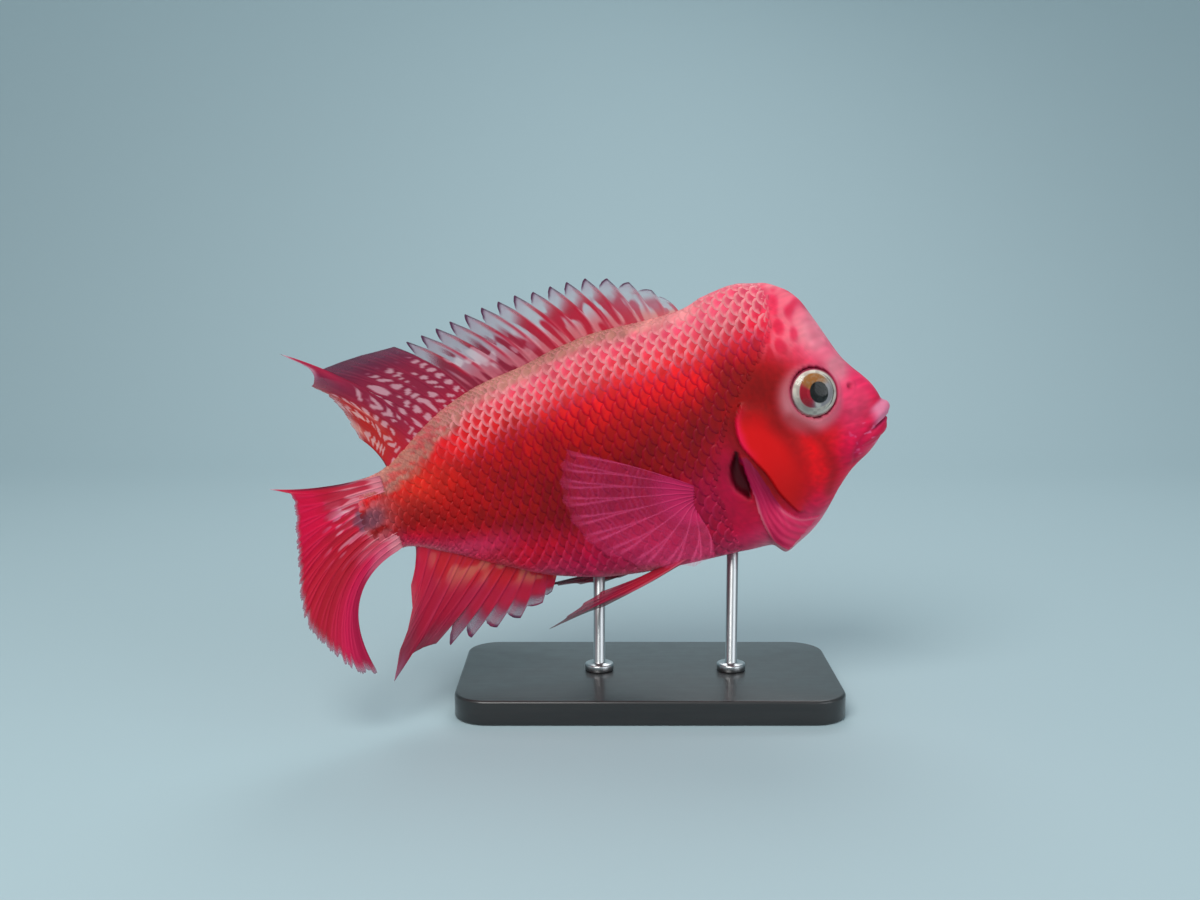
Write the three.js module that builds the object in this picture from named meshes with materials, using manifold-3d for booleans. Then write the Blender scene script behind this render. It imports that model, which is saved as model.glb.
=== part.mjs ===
// A red flowerhorn cichlid, life size, as a still model on a display stand.
// Millimetres, +Z up. The fish faces +X and its right side faces -Y.
// The origin is the centre of the underside of the stand's base.
//
// The body is described in the fish's own frame: u runs forward along the body, v runs up
// through the back, and s runs out to the fish's right. The mid-line of the body bends
// sideways at both ends, and the whole fish is pitched nose up and lifted onto its rods.

import * as THREE from 'three';
import { mergeVertices } from 'three/addons/utils/BufferGeometryUtils.js';
import Module from 'manifold-3d';

const wasm = await Module();
wasm.setup();

// Driving dimensions.
const GAP = 0.3;
const PITCH = THREE.MathUtils.degToRad(15);
const FISH_X = -20;
const FISH_Y = 0;
const FISH_Z = 103;

// Sideways bend of the mid-line, in mm of swing for each square mm past the start.
const TAIL_BEND = 0.0056;
const TAIL_BEND_FROM = -10;
const HEAD_BEND = 0.0012;
const HEAD_BEND_FROM = 45;

// Profiles of the body along u: back line, belly line, half width and height of the widest line.
const SNOUT = 115.8;
const TAIL_END = -88;
const BACK_LINE = [[-92, 17.6], [-84, 18.4], [-76, 22.6], [-67, 28.7], [-55, 34.9], [-40, 39.5], [-22, 42],
  [-5, 45.6], [12, 47.4], [35, 46.8], [46, 47.2], [56, 50], [69, 51.6], [80, 49.2], [88, 44.8], [93, 39.4],
  [97.5, 28.8], [101, 19.2], [104, 12.2], [107, 7.4], [110.4, 2.8], [113.2, -1.6], [115, -6.6],
  [115.8, -11]];
const BELLY_LINE = [[-92, -13.6], [-84, -13.5], [-71, -20.6], [-52, -33.8], [-30, -46.2], [-8, -52.4],
  [15, -54.8], [42, -55.7], [54, -56.1], [58.4, -56.6], [63.6, -61], [69.5, -58.4], [80, -51.6], [90.5, -40],
  [97, -33.8], [101, -31], [105, -28.8], [109, -25.6], [112, -22.6], [114.4, -20], [115.8, -17]];
const HALF_WIDTH = [[-92, 4.2], [-84, 5.6], [-72, 8.2], [-55, 12.2], [-35, 16.6], [-12, 20.4], [15, 22.6],
  [45, 23.2], [65, 22.9], [80, 21.2], [92, 18], [101, 14.6], [107, 11.6], [112, 8.8], [114.6, 6],
  [115.8, 3.6]];
const WIDEST_LINE = [[-92, 2], [-70, 3], [-40, -1], [0, -6], [40, -10], [70, -12], [95, -13], [115.8, -14.4]];
// Below 1 the section is fuller than an ellipse, above 1 it is leaner.
const UPPER_LEAN = [[-92, 0.95], [-50, 1.02], [0, 1.05], [45, 0.98], [70, 0.84], [95, 0.86], [115.8, 0.8]];
const LOWER_LEAN = [[-92, 0.95], [-50, 0.92], [0, 0.8], [50, 0.82], [64, 1.15], [78, 1.05], [92, 0.86],
  [115.8, 0.75]];

// Where the body is parted into nodes.
const HEAD_BACK = 57;
const TORSO_MIDDLE = 12;
const PEDUNCLE_FRONT = -38;
const RING_SIDES = 32;
const STATION_STEP = 4.6;
const SNOUT_STATIONS = [SNOUT - 2.2, SNOUT - 0.8];

// Eyes, mouth and nostrils.
// Turned profiles are [radius, height along the axis], from back to front.
const EYE = {
  u: 89.7,
  v: 3.1,
  sides: 20,
  profile: [[0, -8], [5.6, -7.2], [8.8, -4.6], [9.9, -1.2], [9.7, 0.6], [8.6, 1.7], [4.4, 2.4], [4, 2.1],
    [3.4, 2.9], [1.9, 3.4], [0, 3.5]],
  socket: [[0, -8.4], [5.8, -7.6], [9.1, -4.9], [10.2, -1.3], [10.2, 12], [0, 12]],
};
const RIM = { ring: 11.2, tube: 1.2, sides: 6, spread: 1.4, seat: 0.1 };
const MOUTH = { front: [120, -14], corner: [106.6, -19.4], slit: 0.8 };
const JAW_BACK = [98.6, -40];
const JAW_FRONT = 134;
const JAW_RISE = 3;
const LIP = {
  upper: [-11.4, -17.8],
  lower: [-19, -22.4],
  radius: 2.6,
  front: 115.5,
  setBack: 3,
  depth: 11.4,
  halfWidth: 10.4,
  steps: 14,
  sides: 8,
};
const NOSTRIL = {
  u: 104.4,
  v: 1.2,
  rim: 1.9,
  tube: 0.5,
  sides: 10,
  pit: [[0, -1.6], [1, -1.4], [1.3, 3], [0, 3]],
  pitSides: 8,
};
const HUMP_PLANE = [[50, 37.4], [110, 16.6]];
const HUMP_TOP = 80;
const CUT_REACH = 40;

// Edges on the side of the head, as [u, v] from top to bottom.
const COVER_FRONT = [[64, 6.4], [72, 2.4], [79.6, -6.6], [83.6, -17], [84.2, -28], [81.4, -37.6],
  [76.8, -43.2]];
const COVER_REAR = [[59, 5.8], [55.4, 0], [55, -8.6], [58.4, -16], [62.6, -23.4], [66, -32.6], [71.4, -42.2]];
const MEMBRANE_FRONT = [[56.2, -14.4], [59.4, -21.4], [62.2, -29], [64.6, -36.4], [68.6, -42.4],
  [73.4, -45.9], [80.6, -47.2]];
const MEMBRANE_REAR = [[53.9, -15], [54.4, -22], [55.6, -31], [56.2, -41.4], [58.8, -51.8], [64, -58.8]];
const SLOT_FRONT = [[52.8, -11.2], [53.8, -16], [54.3, -21], [55, -26], [54.6, -31.8]];
const SLOT_REAR = [[51.4, -11.6], [48.2, -16.6], [47.2, -21.6], [48.2, -26.8], [52.2, -32]];
const GILLS_FROM = 46;
const COVER = { low: -1.4, front: 0.5, rear: 1.7, swell: 1.5, round: 0.3 };
const MEMBRANE = { low: -1, front: 0.5, rear: 1.5 };
const SLOT_DEPTH = 4.4;
const BED_REACH = 6;
const BAND_ROWS = 10;
const BAND_COLUMNS = 3;

// Fins. A ray runs from its base to its tip, and the web between rays is cut back by the notch.
const SPINES = 17;
const SPINE_BASE = [45.6, -45];
const SPINE_TIPS = [[42.6, 51.6], [37.1, 57.5], [29, 63], [20.8, 66.8], [12.3, 69.1], [4.8, 69.6],
  [-2.2, 69.7], [-9.4, 69.3], [-17, 69.9], [-24, 69.2], [-31, 68.6], [-38, 67.8], [-44.4, 66.6],
  [-50.2, 65.4], [-56.2, 64.3], [-62, 63.4], [-67, 62.9]];
const SOFT_BASE = [-45.4, -80.6];
const SOFT_TIPS = [[-67.4, 62.8], [-73.4, 63], [-79.4, 63.2], [-85.6, 62.9], [-91.4, 62.2], [-97.6, 62.4],
  [-103, 72], [-99.8, 59.6], [-94, 53.6], [-90.4, 44.6], [-87.6, 33.2]];
const DORSAL_BOW = -0.11;
const DORSAL_WAVE = { swing: 1.4, pace: 0.9 };
const ANAL_BASE = [-30.6, -78.6];
const ANAL_SPINES = 6;
const ANAL_TIPS = [[-34.4, -51.4], [-39.4, -54.6], [-49.6, -57.4], [-59.2, -57.6], [-69, -57.8],
  [-76.8, -57.4], [-81.4, -54.4], [-86.2, -53.6], [-91.4, -53.8], [-99, -60.4], [-94.6, -50.2],
  [-90, -44.2], [-86, -37], [-84, -28.4]];
const ANAL_BOW = 0.06;
const ANAL_WAVE = { swing: 1.2, pace: 0.8 };
const CAUDAL_RAYS = 15;
const CAUDAL_BASE = [[-88.4, 17.2], [-88.4, -12.9]];
const CAUDAL_MARGIN = [[-117.8, 26], [-112.6, 21.4], [-114.4, 11], [-115.6, 0], [-116.6, -10], [-118, -20],
  [-118, -29], [-115.6, -38], [-111.8, -47], [-107.4, -54.4], [-103, -56.6]];
// A caudal ray first runs back, more so low in the fin, and then turns towards its tip.
const CAUDAL_BOW = { back: 16, more: 6, turn: 0.18 };
const CAUDAL_WAVE = { swing: 2, pace: 0.55, start: 0.6 };
const PECTORAL_BASE = [[30.5, -18.6], [29.4, -25], [30.8, -32]];
const PECTORAL_TIPS = [[-12, 8.3], [-18, 3.2], [-21.6, -3.6], [-22.8, -11], [-21, -20], [-15.6, -28.6],
  [-7, -36.6], [3.4, -43.6], [14.6, -48], [25, -50], [33.4, -48.6]];
const PECTORAL_STAND = 8.5;
const PECTORAL_RISE = 0.55;
const PECTORAL_BOW = { top: -0.03, low: 0.26 };
const PELVIC_BASE = [[24, -66], [12, -74]];
const PELVIC_RIGHT = [[-14, -60, 15.4], [-43, -62.4, 14.8], [-33, -60.4, 12.2], [-24, -57.9, 9.8],
  [-15, -55.9, 7.8], [-6, -55.4, 6.4]];
const PELVIC_LEFT = [[-14, -57.6, 14.8], [-37, -50.8, 14], [-30, -52.6, 11.6], [-22, -54.4, 9.6],
  [-14, -55, 7.8], [-6, -55.4, 6.4]];
const PELVIC_BOW = 0.04;
const WEB = 0.29;
const RAY = 0.62;
const RAY_TAPER = 0.75;
const WEB_SHARES = [0.16, 0.84];
const FIN_ROOT = 1.1;
const CAUDAL_ROOT = 4.4;
// How far a fin's foot stays off the skin: on the mid-line, and on the flank.
const FIN_SEAT = GAP + 0.05;
const PAIRED_SEAT = FIN_ROOT + GAP + 0.2;

// Stand.
const BASE = { length: 156, width: 84, height: 10, corner: 14, bevel: 1 };
const ROD = {
  radius: 2.4,
  collar: 6,
  collarHeight: 3,
  collarEdge: 0.8,
  sides: 20,
  hole: 2.75,
  holeDepth: 40,
  sunk: 9,
  from: [42, -14],
};

// Material colours.
const SKIN_RED = 0xc2202e;
const SKIN_PINK = 0xe0627a;
const FIN_RED = 0xa81434;
const MEMBRANE_PINK = 0xd83a70;
const EYE_SILVER = 0xd8d2b4;
const STAND_BLACK = 0x1c1c20;
const STAND_STEEL = 0xa8acb0;

function finish(color, roughness, metalness = 0) {
  return new THREE.MeshStandardMaterial({ color, roughness, metalness });
}

// Smooth curve through [u, value] points without overshoot.
function smoothLine(points) {
  const n = points.length;
  const slope = [];
  for (let i = 0; i < n - 1; i += 1) {
    slope.push((points[i + 1][1] - points[i][1]) / (points[i + 1][0] - points[i][0]));
  }
  const tangent = [slope[0]];
  for (let i = 1; i < n - 1; i += 1) {
    const flat = slope[i - 1] * slope[i] <= 0;
    tangent.push(flat ? 0 : (2 * slope[i - 1] * slope[i]) / (slope[i - 1] + slope[i]));
  }
  tangent.push(slope[n - 2]);
  return (u) => {
    let i = 0;
    while (i < n - 2 && u > points[i + 1][0]) i += 1;
    const step = points[i + 1][0] - points[i][0];
    const t = THREE.MathUtils.clamp((u - points[i][0]) / step, 0, 1);
    const t2 = t * t;
    const t3 = t2 * t;
    return (2 * t3 - 3 * t2 + 1) * points[i][1] + (t3 - 2 * t2 + t) * step * tangent[i]
      + (3 * t2 - 2 * t3) * points[i + 1][1] + (t3 - t2) * step * tangent[i + 1];
  };
}

const back = smoothLine(BACK_LINE);
const belly = smoothLine(BELLY_LINE);
const halfWidth = smoothLine(HALF_WIDTH);
const widest = smoothLine(WIDEST_LINE);
const upperLean = smoothLine(UPPER_LEAN);
const lowerLean = smoothLine(LOWER_LEAN);

// From the fish's frame to the model's frame. The side is 1 for the right and -1 for the left.
function place(u, v, s, side = 1) {
  const tail = Math.max(0, TAIL_BEND_FROM - u);
  const head = Math.max(0, u - HEAD_BEND_FROM);
  const swing = -TAIL_BEND * tail * tail - HEAD_BEND * head * head;
  const slope = 2 * TAIL_BEND * tail - 2 * HEAD_BEND * head;
  const length = Math.hypot(1, slope);
  const along = u + (side * s * slope) / length;
  return new THREE.Vector3(
    FISH_X + along * Math.cos(PITCH) - v * Math.sin(PITCH),
    FISH_Y + swing - (side * s) / length,
    FISH_Z + along * Math.sin(PITCH) + v * Math.cos(PITCH),
  );
}

// A point of the right flank in the fish's frame. The angle is -90 degrees at the belly,
// 0 at the widest line and 90 degrees at the back.
function flankPoint(u, angle) {
  const rise = Math.sin(angle);
  const reach = Math.cos(angle);
  const middle = widest(u);
  const height = rise > 0 ? back(u) - middle : middle - belly(u);
  const lean = rise > 0 ? upperLean(u) : lowerLean(u);
  const s = halfWidth(u) * Math.sign(reach) * Math.abs(reach) ** lean;
  return new THREE.Vector3(u, middle + height * rise, s);
}

function angleAt(u, v) {
  const middle = widest(u);
  const height = v > middle ? back(u) - middle : middle - belly(u);
  return Math.asin(THREE.MathUtils.clamp((v - middle) / height, -0.995, 0.995));
}

// The outward normal of the flank, and a point lifted along it.
function flankNormal(u, angle) {
  const alongU = flankPoint(u + 0.5, angle).sub(flankPoint(u - 0.5, angle));
  const alongAngle = flankPoint(u, angle + 0.01).sub(flankPoint(u, angle - 0.01));
  return alongU.cross(alongAngle).normalize();
}

function lifted(u, angle, lift) {
  return flankPoint(u, angle).addScaledVector(flankNormal(u, angle), lift);
}

// A closed geometry from points and triangles, turned so that its faces point out.
function closedGeometry(points, triangles) {
  let volume = 0;
  for (const [a, b, c] of triangles) volume += points[a].dot(points[b].clone().cross(points[c]));
  const index = volume < 0 ? triangles.map(([a, b, c]) => [a, c, b]) : triangles;
  const geometry = new THREE.BufferGeometry();
  const flat = points.flatMap((point) => [point.x, point.y, point.z]);
  geometry.setAttribute('position', new THREE.Float32BufferAttribute(flat, 3));
  geometry.setIndex(index.flat());
  return geometry;
}

// Joins a grid of front points and a grid of back points, of like size, into one closed skin.
// Both faces are split into triangles alike.
function closedPlate(front, rear) {
  const rows = front.length;
  const columns = front[0].length;
  const points = [...front.flat(), ...rear.flat()];
  const at = (i, j) => i * columns + j;
  const far = (i, j) => rows * columns + at(i, j);
  const triangles = [];
  for (let i = 0; i < rows - 1; i += 1) {
    for (let j = 0; j < columns - 1; j += 1) {
      triangles.push([at(i, j), at(i + 1, j), at(i + 1, j + 1)]);
      triangles.push([at(i, j), at(i + 1, j + 1), at(i, j + 1)]);
      triangles.push([far(i, j), far(i + 1, j + 1), far(i + 1, j)]);
      triangles.push([far(i, j), far(i, j + 1), far(i + 1, j + 1)]);
    }
  }
  const edge = [];
  for (let j = 0; j < columns - 1; j += 1) edge.push([0, j]);
  for (let i = 0; i < rows - 1; i += 1) edge.push([i, columns - 1]);
  for (let j = columns - 1; j > 0; j -= 1) edge.push([rows - 1, j]);
  for (let i = rows - 1; i > 0; i -= 1) edge.push([i, 0]);
  edge.forEach(([i, j], k) => {
    const [nextI, nextJ] = edge[(k + 1) % edge.length];
    triangles.push([at(i, j), at(nextI, nextJ), far(nextI, nextJ)]);
    triangles.push([at(i, j), far(nextI, nextJ), far(i, j)]);
  });
  return closedGeometry(points, triangles);
}

// Solids for joining and cutting.
function solid(geometry) {
  const bare = geometry.clone();
  bare.deleteAttribute('normal');
  bare.deleteAttribute('uv');
  const merged = mergeVertices(bare, 1e-4);
  return new wasm.Manifold(new wasm.Mesh({
    numProp: 3,
    vertProperties: new Float32Array(merged.attributes.position.array),
    triVerts: new Uint32Array(merged.index.array),
  }));
}

// The largest closed surface of a solid, as a geometry.
function geometryOf(manifold) {
  const parts = manifold.decompose().sort((a, b) => b.volume() - a.volume());
  const mesh = parts[0].getMesh();
  const geometry = new THREE.BufferGeometry();
  geometry.setAttribute('position', new THREE.Float32BufferAttribute(Array.from(mesh.vertProperties), 3));
  geometry.setIndex(Array.from(mesh.triVerts));
  return geometry;
}

// Closes a stack of rings of like count with a fan at each end.
function closedTube(rings, first, last) {
  const sides = rings[0].length;
  const points = [...rings.flat(), first, last];
  const start = points.length - 2;
  const end = (rings.length - 1) * sides;
  const triangles = [];
  for (let k = 0; k < sides; k += 1) {
    const next = (k + 1) % sides;
    triangles.push([start, next, k], [start + 1, end + k, end + next]);
    for (let i = 0; i < end; i += sides) {
      triangles.push([i + k, i + next, i + sides + next], [i + k, i + sides + next, i + sides + k]);
    }
  }
  return closedGeometry(points, triangles);
}

// The body between two stations, with a flat face at each end.
function bodyLength(from, to) {
  const count = Math.max(2, Math.round((to - from) / STATION_STEP));
  const stations = [];
  for (let i = 0; i <= count; i += 1) stations.push(from + ((to - from) * i) / count);
  if (to === SNOUT) stations.splice(-1, 0, ...SNOUT_STATIONS);
  const rings = stations.map((u) => {
    const ring = [];
    for (let k = 0; k < RING_SIDES; k += 1) {
      const point = flankPoint(u, (k / RING_SIDES) * 2 * Math.PI);
      ring.push(place(point.x, point.y, point.z));
    }
    return ring;
  });
  return closedTube(rings, place(from, widest(from), 0), place(to, widest(to), 0));
}

// A prism through the whole width of the fish, from a convex outline of [u, v] points.
function crossPrism(outline) {
  const rings = [-CUT_REACH, CUT_REACH].map((s) => outline.map(([u, v]) => place(u, v, s)));
  const u = outline.reduce((sum, point) => sum + point[0], 0) / outline.length;
  const v = outline.reduce((sum, point) => sum + point[1], 0) / outline.length;
  return closedTube(rings, place(u, v, -CUT_REACH), place(u, v, CUT_REACH));
}

function curveThrough(points) {
  const knots = points.map(([u, v]) => new THREE.Vector3(u, v, 0));
  return new THREE.CatmullRomCurve3(knots, false, 'centripetal');
}

// A plate on the flank between a front edge and a rear edge. A grown plate is the tool that
// cuts its bed.
function flankBand(frontEdge, rearEdge, side, low, liftAt, grow = 0) {
  const front = curveThrough(frontEdge);
  const rear = curveThrough(rearEdge);
  const inner = [];
  const outer = [];
  for (let i = 0; i <= BAND_ROWS; i += 1) {
    const t = i / BAND_ROWS;
    const a = front.getPointAt(t);
    const b = rear.getPointAt(t);
    const across = b.clone().sub(a).normalize();
    const down = new THREE.Vector3(across.y, -across.x, 0);
    const shift = i === 0 ? -grow : i === BAND_ROWS ? grow : 0;
    if (down.y > 0) down.negate();
    a.addScaledVector(across, -grow).addScaledVector(down, shift);
    b.addScaledVector(across, grow).addScaledVector(down, shift);
    const innerRow = [];
    const outerRow = [];
    for (let j = 0; j <= BAND_COLUMNS; j += 1) {
      const point = a.clone().lerp(b, j / BAND_COLUMNS);
      const angle = angleAt(point.x, point.y);
      const under = lifted(point.x, angle, low);
      const over = lifted(point.x, angle, liftAt(j / BAND_COLUMNS, t));
      innerRow.push(place(under.x, under.y, under.z, side));
      outerRow.push(place(over.x, over.y, over.z, side));
    }
    inner.push(innerRow);
    outer.push(outerRow);
  }
  return closedPlate(inner, outer);
}

// A tube of varying radius along a path of the fish's frame.
function softTube(path, radiusAt, steps, sides) {
  const rings = [];
  for (let i = 0; i <= steps; i += 1) {
    const q = (2 * i) / steps - 1;
    const centre = path(q);
    const heading = path(q + 0.01).sub(path(q - 0.01)).normalize();
    const up = new THREE.Vector3(0, 1, 0);
    const out = heading.clone().cross(up).normalize();
    const ring = [];
    for (let k = 0; k < sides; k += 1) {
      const turn = (k / sides) * 2 * Math.PI;
      const point = centre.clone()
        .addScaledVector(out, radiusAt(q) * Math.cos(turn))
        .addScaledVector(up, radiusAt(q) * Math.sin(turn));
      ring.push(place(point.x, point.y, point.z));
    }
    rings.push(ring);
  }
  const first = path(-1);
  const last = path(1);
  return closedTube(rings, place(first.x, first.y, first.z), place(last.x, last.y, last.z));
}

// One lip, from corner to corner of the mouth round the front of the snout.
function lip([frontV, cornerV], reachBack) {
  const path = (q) => {
    const turn = (q * Math.PI) / 2;
    const u = LIP.front - reachBack - LIP.depth * (1 - Math.cos(turn));
    return new THREE.Vector3(u, frontV + (cornerV - frontV) * q * q, LIP.halfWidth * Math.sin(turn));
  };
  return solid(softTube(path, (q) => LIP.radius * (1 - 0.5 * q * q), LIP.steps, LIP.sides));
}

// The frame of an eye or nostril on the skin: its centre and its outward axis.
function skinFrame(u, v, side) {
  const angle = angleAt(u, v);
  const near = lifted(u, angle, 0);
  const far = lifted(u, angle, 1);
  const centre = place(near.x, near.y, near.z, side);
  const axis = place(far.x, far.y, far.z, side).sub(centre).normalize();
  return { centre, axis };
}

// A turned solid on an axis, from [radius, height] points that start and end on the axis.
function turned(profile, sides, { centre, axis }) {
  const turn = new THREE.Quaternion().setFromUnitVectors(new THREE.Vector3(0, 0, 1), axis);
  const at = (r, h, angle) => new THREE.Vector3(r * Math.cos(angle), r * Math.sin(angle), h)
    .applyQuaternion(turn).add(centre);
  const rings = profile.slice(1, -1).map(([r, h]) => {
    const ring = [];
    for (let k = 0; k < sides; k += 1) ring.push(at(r, h, (k / sides) * 2 * Math.PI));
    return ring;
  });
  return closedTube(rings, at(0, profile[0][1], 0), at(0, profile.at(-1)[1], 0));
}

// A raised ring of skin round a centre, following the form of the head.
function skinRing(u, v, radius, thickness, side, sides) {
  const around = RIM.sides;
  const { centre, axis } = skinFrame(u, v, side);
  const rings = [];
  for (let i = 0; i < sides; i += 1) {
    const turn = (i / sides) * 2 * Math.PI;
    const ringU = u + radius * Math.cos(turn);
    const ringV = v + radius * Math.sin(turn);
    const on = lifted(ringU, angleAt(ringU, ringV), RIM.seat);
    const point = place(on.x, on.y, on.z, side);
    const out = point.clone().sub(centre).projectOnPlane(axis).normalize();
    const ring = [];
    for (let k = 0; k < around; k += 1) {
      const roll = (k / around) * 2 * Math.PI;
      ring.push(point.clone()
        .addScaledVector(out, thickness * RIM.spread * Math.cos(roll))
        .addScaledVector(axis, thickness * Math.sin(roll)));
    }
    rings.push(ring);
  }
  const points = rings.flat();
  const triangles = [];
  for (let i = 0; i < sides; i += 1) {
    const a = i * around;
    const b = ((i + 1) % sides) * around;
    for (let k = 0; k < around; k += 1) {
      const next = (k + 1) % around;
      triangles.push([a + k, a + next, b + next], [a + k, b + next, b + k]);
    }
  }
  return solid(closedGeometry(points, triangles));
}

const SIDES = [['right', 1], ['left', -1]];

// Adds lips, eye rims and nostrils to the head, and cuts its sockets, gill beds and mouth.
function headSolid() {
  let head = solid(bodyLength(HEAD_BACK + GAP / 2, SNOUT));
  head = head.add(lip(LIP.upper, 0)).add(lip(LIP.lower, LIP.setBack));
  for (const [, side] of SIDES) {
    head = head.add(skinRing(EYE.u, EYE.v, RIM.ring, RIM.tube, side, EYE.sides));
    head = head.add(skinRing(NOSTRIL.u, NOSTRIL.v, NOSTRIL.rim, NOSTRIL.tube, side, NOSTRIL.sides));
    head = head.subtract(solid(turned(EYE.socket, EYE.sides, skinFrame(EYE.u, EYE.v, side))));
    const nostril = skinFrame(NOSTRIL.u, NOSTRIL.v, side);
    head = head.subtract(solid(turned(NOSTRIL.pit, NOSTRIL.pitSides, nostril)));
    head = head.subtract(coverBed(side)).subtract(membraneBed(side));
  }
  const [frontU, frontV] = MOUTH.front;
  const slit = [[frontU, frontV + MOUTH.slit], MOUTH.corner, [frontU, frontV - MOUTH.slit]];
  return head.subtract(solid(crossPrism(slit)));
}

function coverBed(side) {
  return solid(flankBand(COVER_FRONT, COVER_REAR, side, COVER.low - GAP, () => BED_REACH, GAP));
}

function membraneBed(side) {
  const low = MEMBRANE.low - GAP;
  return solid(flankBand(MEMBRANE_FRONT, MEMBRANE_REAR, side, low, () => BED_REACH, GAP));
}

// The hump is all of the head above one slanting plane, and the lower jaw all of it in front
// of and below the corner of the mouth.
function humpBlock(grow) {
  const [[rearU, rearV], [frontU, frontV]] = HUMP_PLANE;
  const outline = [[rearU, rearV - grow], [frontU, frontV - grow], [frontU, HUMP_TOP], [rearU, HUMP_TOP]];
  return solid(crossPrism(outline));
}

function jawBlock(grow) {
  const [cornerU, cornerV] = MOUTH.corner;
  const [backU, backV] = JAW_BACK;
  const outline = [[JAW_FRONT, MOUTH.front[1] + JAW_RISE + grow], [cornerU - grow, cornerV + grow],
    [backU - grow, backV], [JAW_FRONT, backV]];
  return solid(crossPrism(outline));
}

function eye(side) {
  return turned(EYE.profile, EYE.sides, skinFrame(EYE.u, EYE.v, side));
}

// A torso length with the gill beds, the gill slots and the rod holes cut out of it.
function torso(from, to) {
  let body = solid(bodyLength(from, to));
  if (to > GILLS_FROM) {
    for (const [, side] of SIDES) {
      body = body.subtract(coverBed(side)).subtract(membraneBed(side));
      body = body.subtract(solid(flankBand(SLOT_FRONT, SLOT_REAR, side, -SLOT_DEPTH, () => BED_REACH)));
    }
  }
  for (const u of ROD.from) body = body.subtract(rodHole(u));
  return geometryOf(body);
}

function rodTop(u) {
  const foot = place(u, belly(u), 0);
  return new THREE.Vector3(foot.x, foot.y, foot.z + ROD.sunk);
}

function rodHole(u) {
  const profile = [[0, -ROD.holeDepth], [ROD.hole, -ROD.holeDepth], [ROD.hole, GAP], [0, GAP]];
  return solid(turned(profile, ROD.sides, { centre: rodTop(u), axis: new THREE.Vector3(0, 0, 1) }));
}

function rod(u) {
  const top = rodTop(u);
  const length = top.z - BASE.height - GAP;
  const { radius, collar, collarHeight, collarEdge } = ROD;
  const profile = [[0, 0], [collar, 0], [collar, collarHeight - collarEdge],
    [collar - collarEdge, collarHeight], [radius, collarHeight], [radius, length], [0, length]];
  return turned(profile, ROD.sides, {
    centre: new THREE.Vector3(top.x, top.y, BASE.height + GAP),
    axis: new THREE.Vector3(0, 0, 1),
  });
}

function standBase() {
  const { length, width, height, corner, bevel } = BASE;
  const x = length / 2 - bevel;
  const y = width / 2 - bevel;
  const outline = new THREE.Shape();
  outline.absarc(x - corner, y - corner, corner, 0, Math.PI / 2, false);
  outline.absarc(corner - x, y - corner, corner, Math.PI / 2, Math.PI, false);
  outline.absarc(corner - x, corner - y, corner, Math.PI, 1.5 * Math.PI, false);
  outline.absarc(x - corner, corner - y, corner, 1.5 * Math.PI, 2 * Math.PI, false);
  const geometry = new THREE.ExtrudeGeometry(outline, {
    depth: height - 2 * bevel,
    bevelThickness: bevel,
    bevelSize: bevel,
    bevelSegments: 1,
    curveSegments: 6,
  });
  return geometry.translate(0, 0, bevel);
}

// A ray's path from base to tip, bowed by a third point.
function rayPath(base, tip, bow) {
  const curve = new THREE.QuadraticBezierCurve3(base, bow, tip);
  return (r) => curve.getPoint(r);
}

function bowed(base, tip, amount) {
  const middle = base.clone().lerp(tip, 0.5);
  const chord = tip.clone().sub(base);
  return middle.add(new THREE.Vector3(-chord.y, chord.x, 0).multiplyScalar(amount));
}

// A fin as a web with a ridge raised in it along each ray. The web is full behind each tip
// and is cut back by the notch where it meets the next ray.
function finSolid(paths, { rows, notch, root = FIN_ROOT, rootFade = 5, side = 1, wave = () => 0 }) {
  const grid = [];
  const thickness = [];
  const addColumn = (i, share) => {
    const here = paths[i];
    const next = paths[Math.min(i + 1, paths.length - 1)];
    const cut = notch(i) * Math.sqrt(share);
    const column = [];
    const halves = [];
    for (let k = 0; k <= rows; k += 1) {
      const r = k / rows;
      const along = r * (1 - cut);
      const point = here(along).lerp(next(along), share);
      point.z += wave(i + share, r);
      column.push(place(point.x, point.y, point.z, side));
      const fleshy = (root - WEB) * (1 - r) ** rootFade;
      const ridge = share === 0 ? (RAY - WEB) * (1 - RAY_TAPER * r) : 0;
      halves.push(WEB + fleshy + ridge);
    }
    grid.push(column);
    thickness.push(halves);
  };
  for (let i = 0; i < paths.length; i += 1) {
    addColumn(i, 0);
    if (i < paths.length - 1) for (const share of WEB_SHARES) addColumn(i, share);
  }
  const last = grid.length - 1;
  const faces = [1, -1].map((way) => grid.map((column, i) => column.map((point, k) => {
    const alongFin = grid[Math.min(i + 1, last)][k].clone().sub(grid[Math.max(i - 1, 0)][k]);
    const alongRay = grid[i][Math.min(k + 1, rows)].clone().sub(grid[i][Math.max(k - 1, 0)]);
    const normal = alongFin.cross(alongRay).normalize();
    return point.clone().addScaledVector(normal, way * thickness[i][k]);
  })));
  return closedPlate(faces[0], faces[1]);
}

// Points spread evenly along a curve through [u, v] points.
function spread(points, count) {
  const curve = curveThrough(points);
  return Array.from({ length: count }, (_, i) => curve.getPointAt(i / (count - 1)));
}

function midPoint(u, v) {
  return new THREE.Vector3(u, v, 0);
}

// Bases spaced evenly along the back or the belly, just off the skin.
function basesAlong(line, [from, to], count, offset) {
  return Array.from({ length: count }, (_, i) => {
    const u = from + ((to - from) * i) / (count - 1);
    return midPoint(u, line(u) + offset);
  });
}

function dorsalSpines() {
  const bases = basesAlong(back, SPINE_BASE, SPINES, FIN_SEAT);
  const paths = SPINE_TIPS.map(([u, v], i) => {
    const tip = midPoint(u, v);
    return rayPath(bases[i], tip, bowed(bases[i], tip, DORSAL_BOW));
  });
  return finSolid(paths, { rows: 5, notch: () => 0.26, rootFade: 6 });
}

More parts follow.
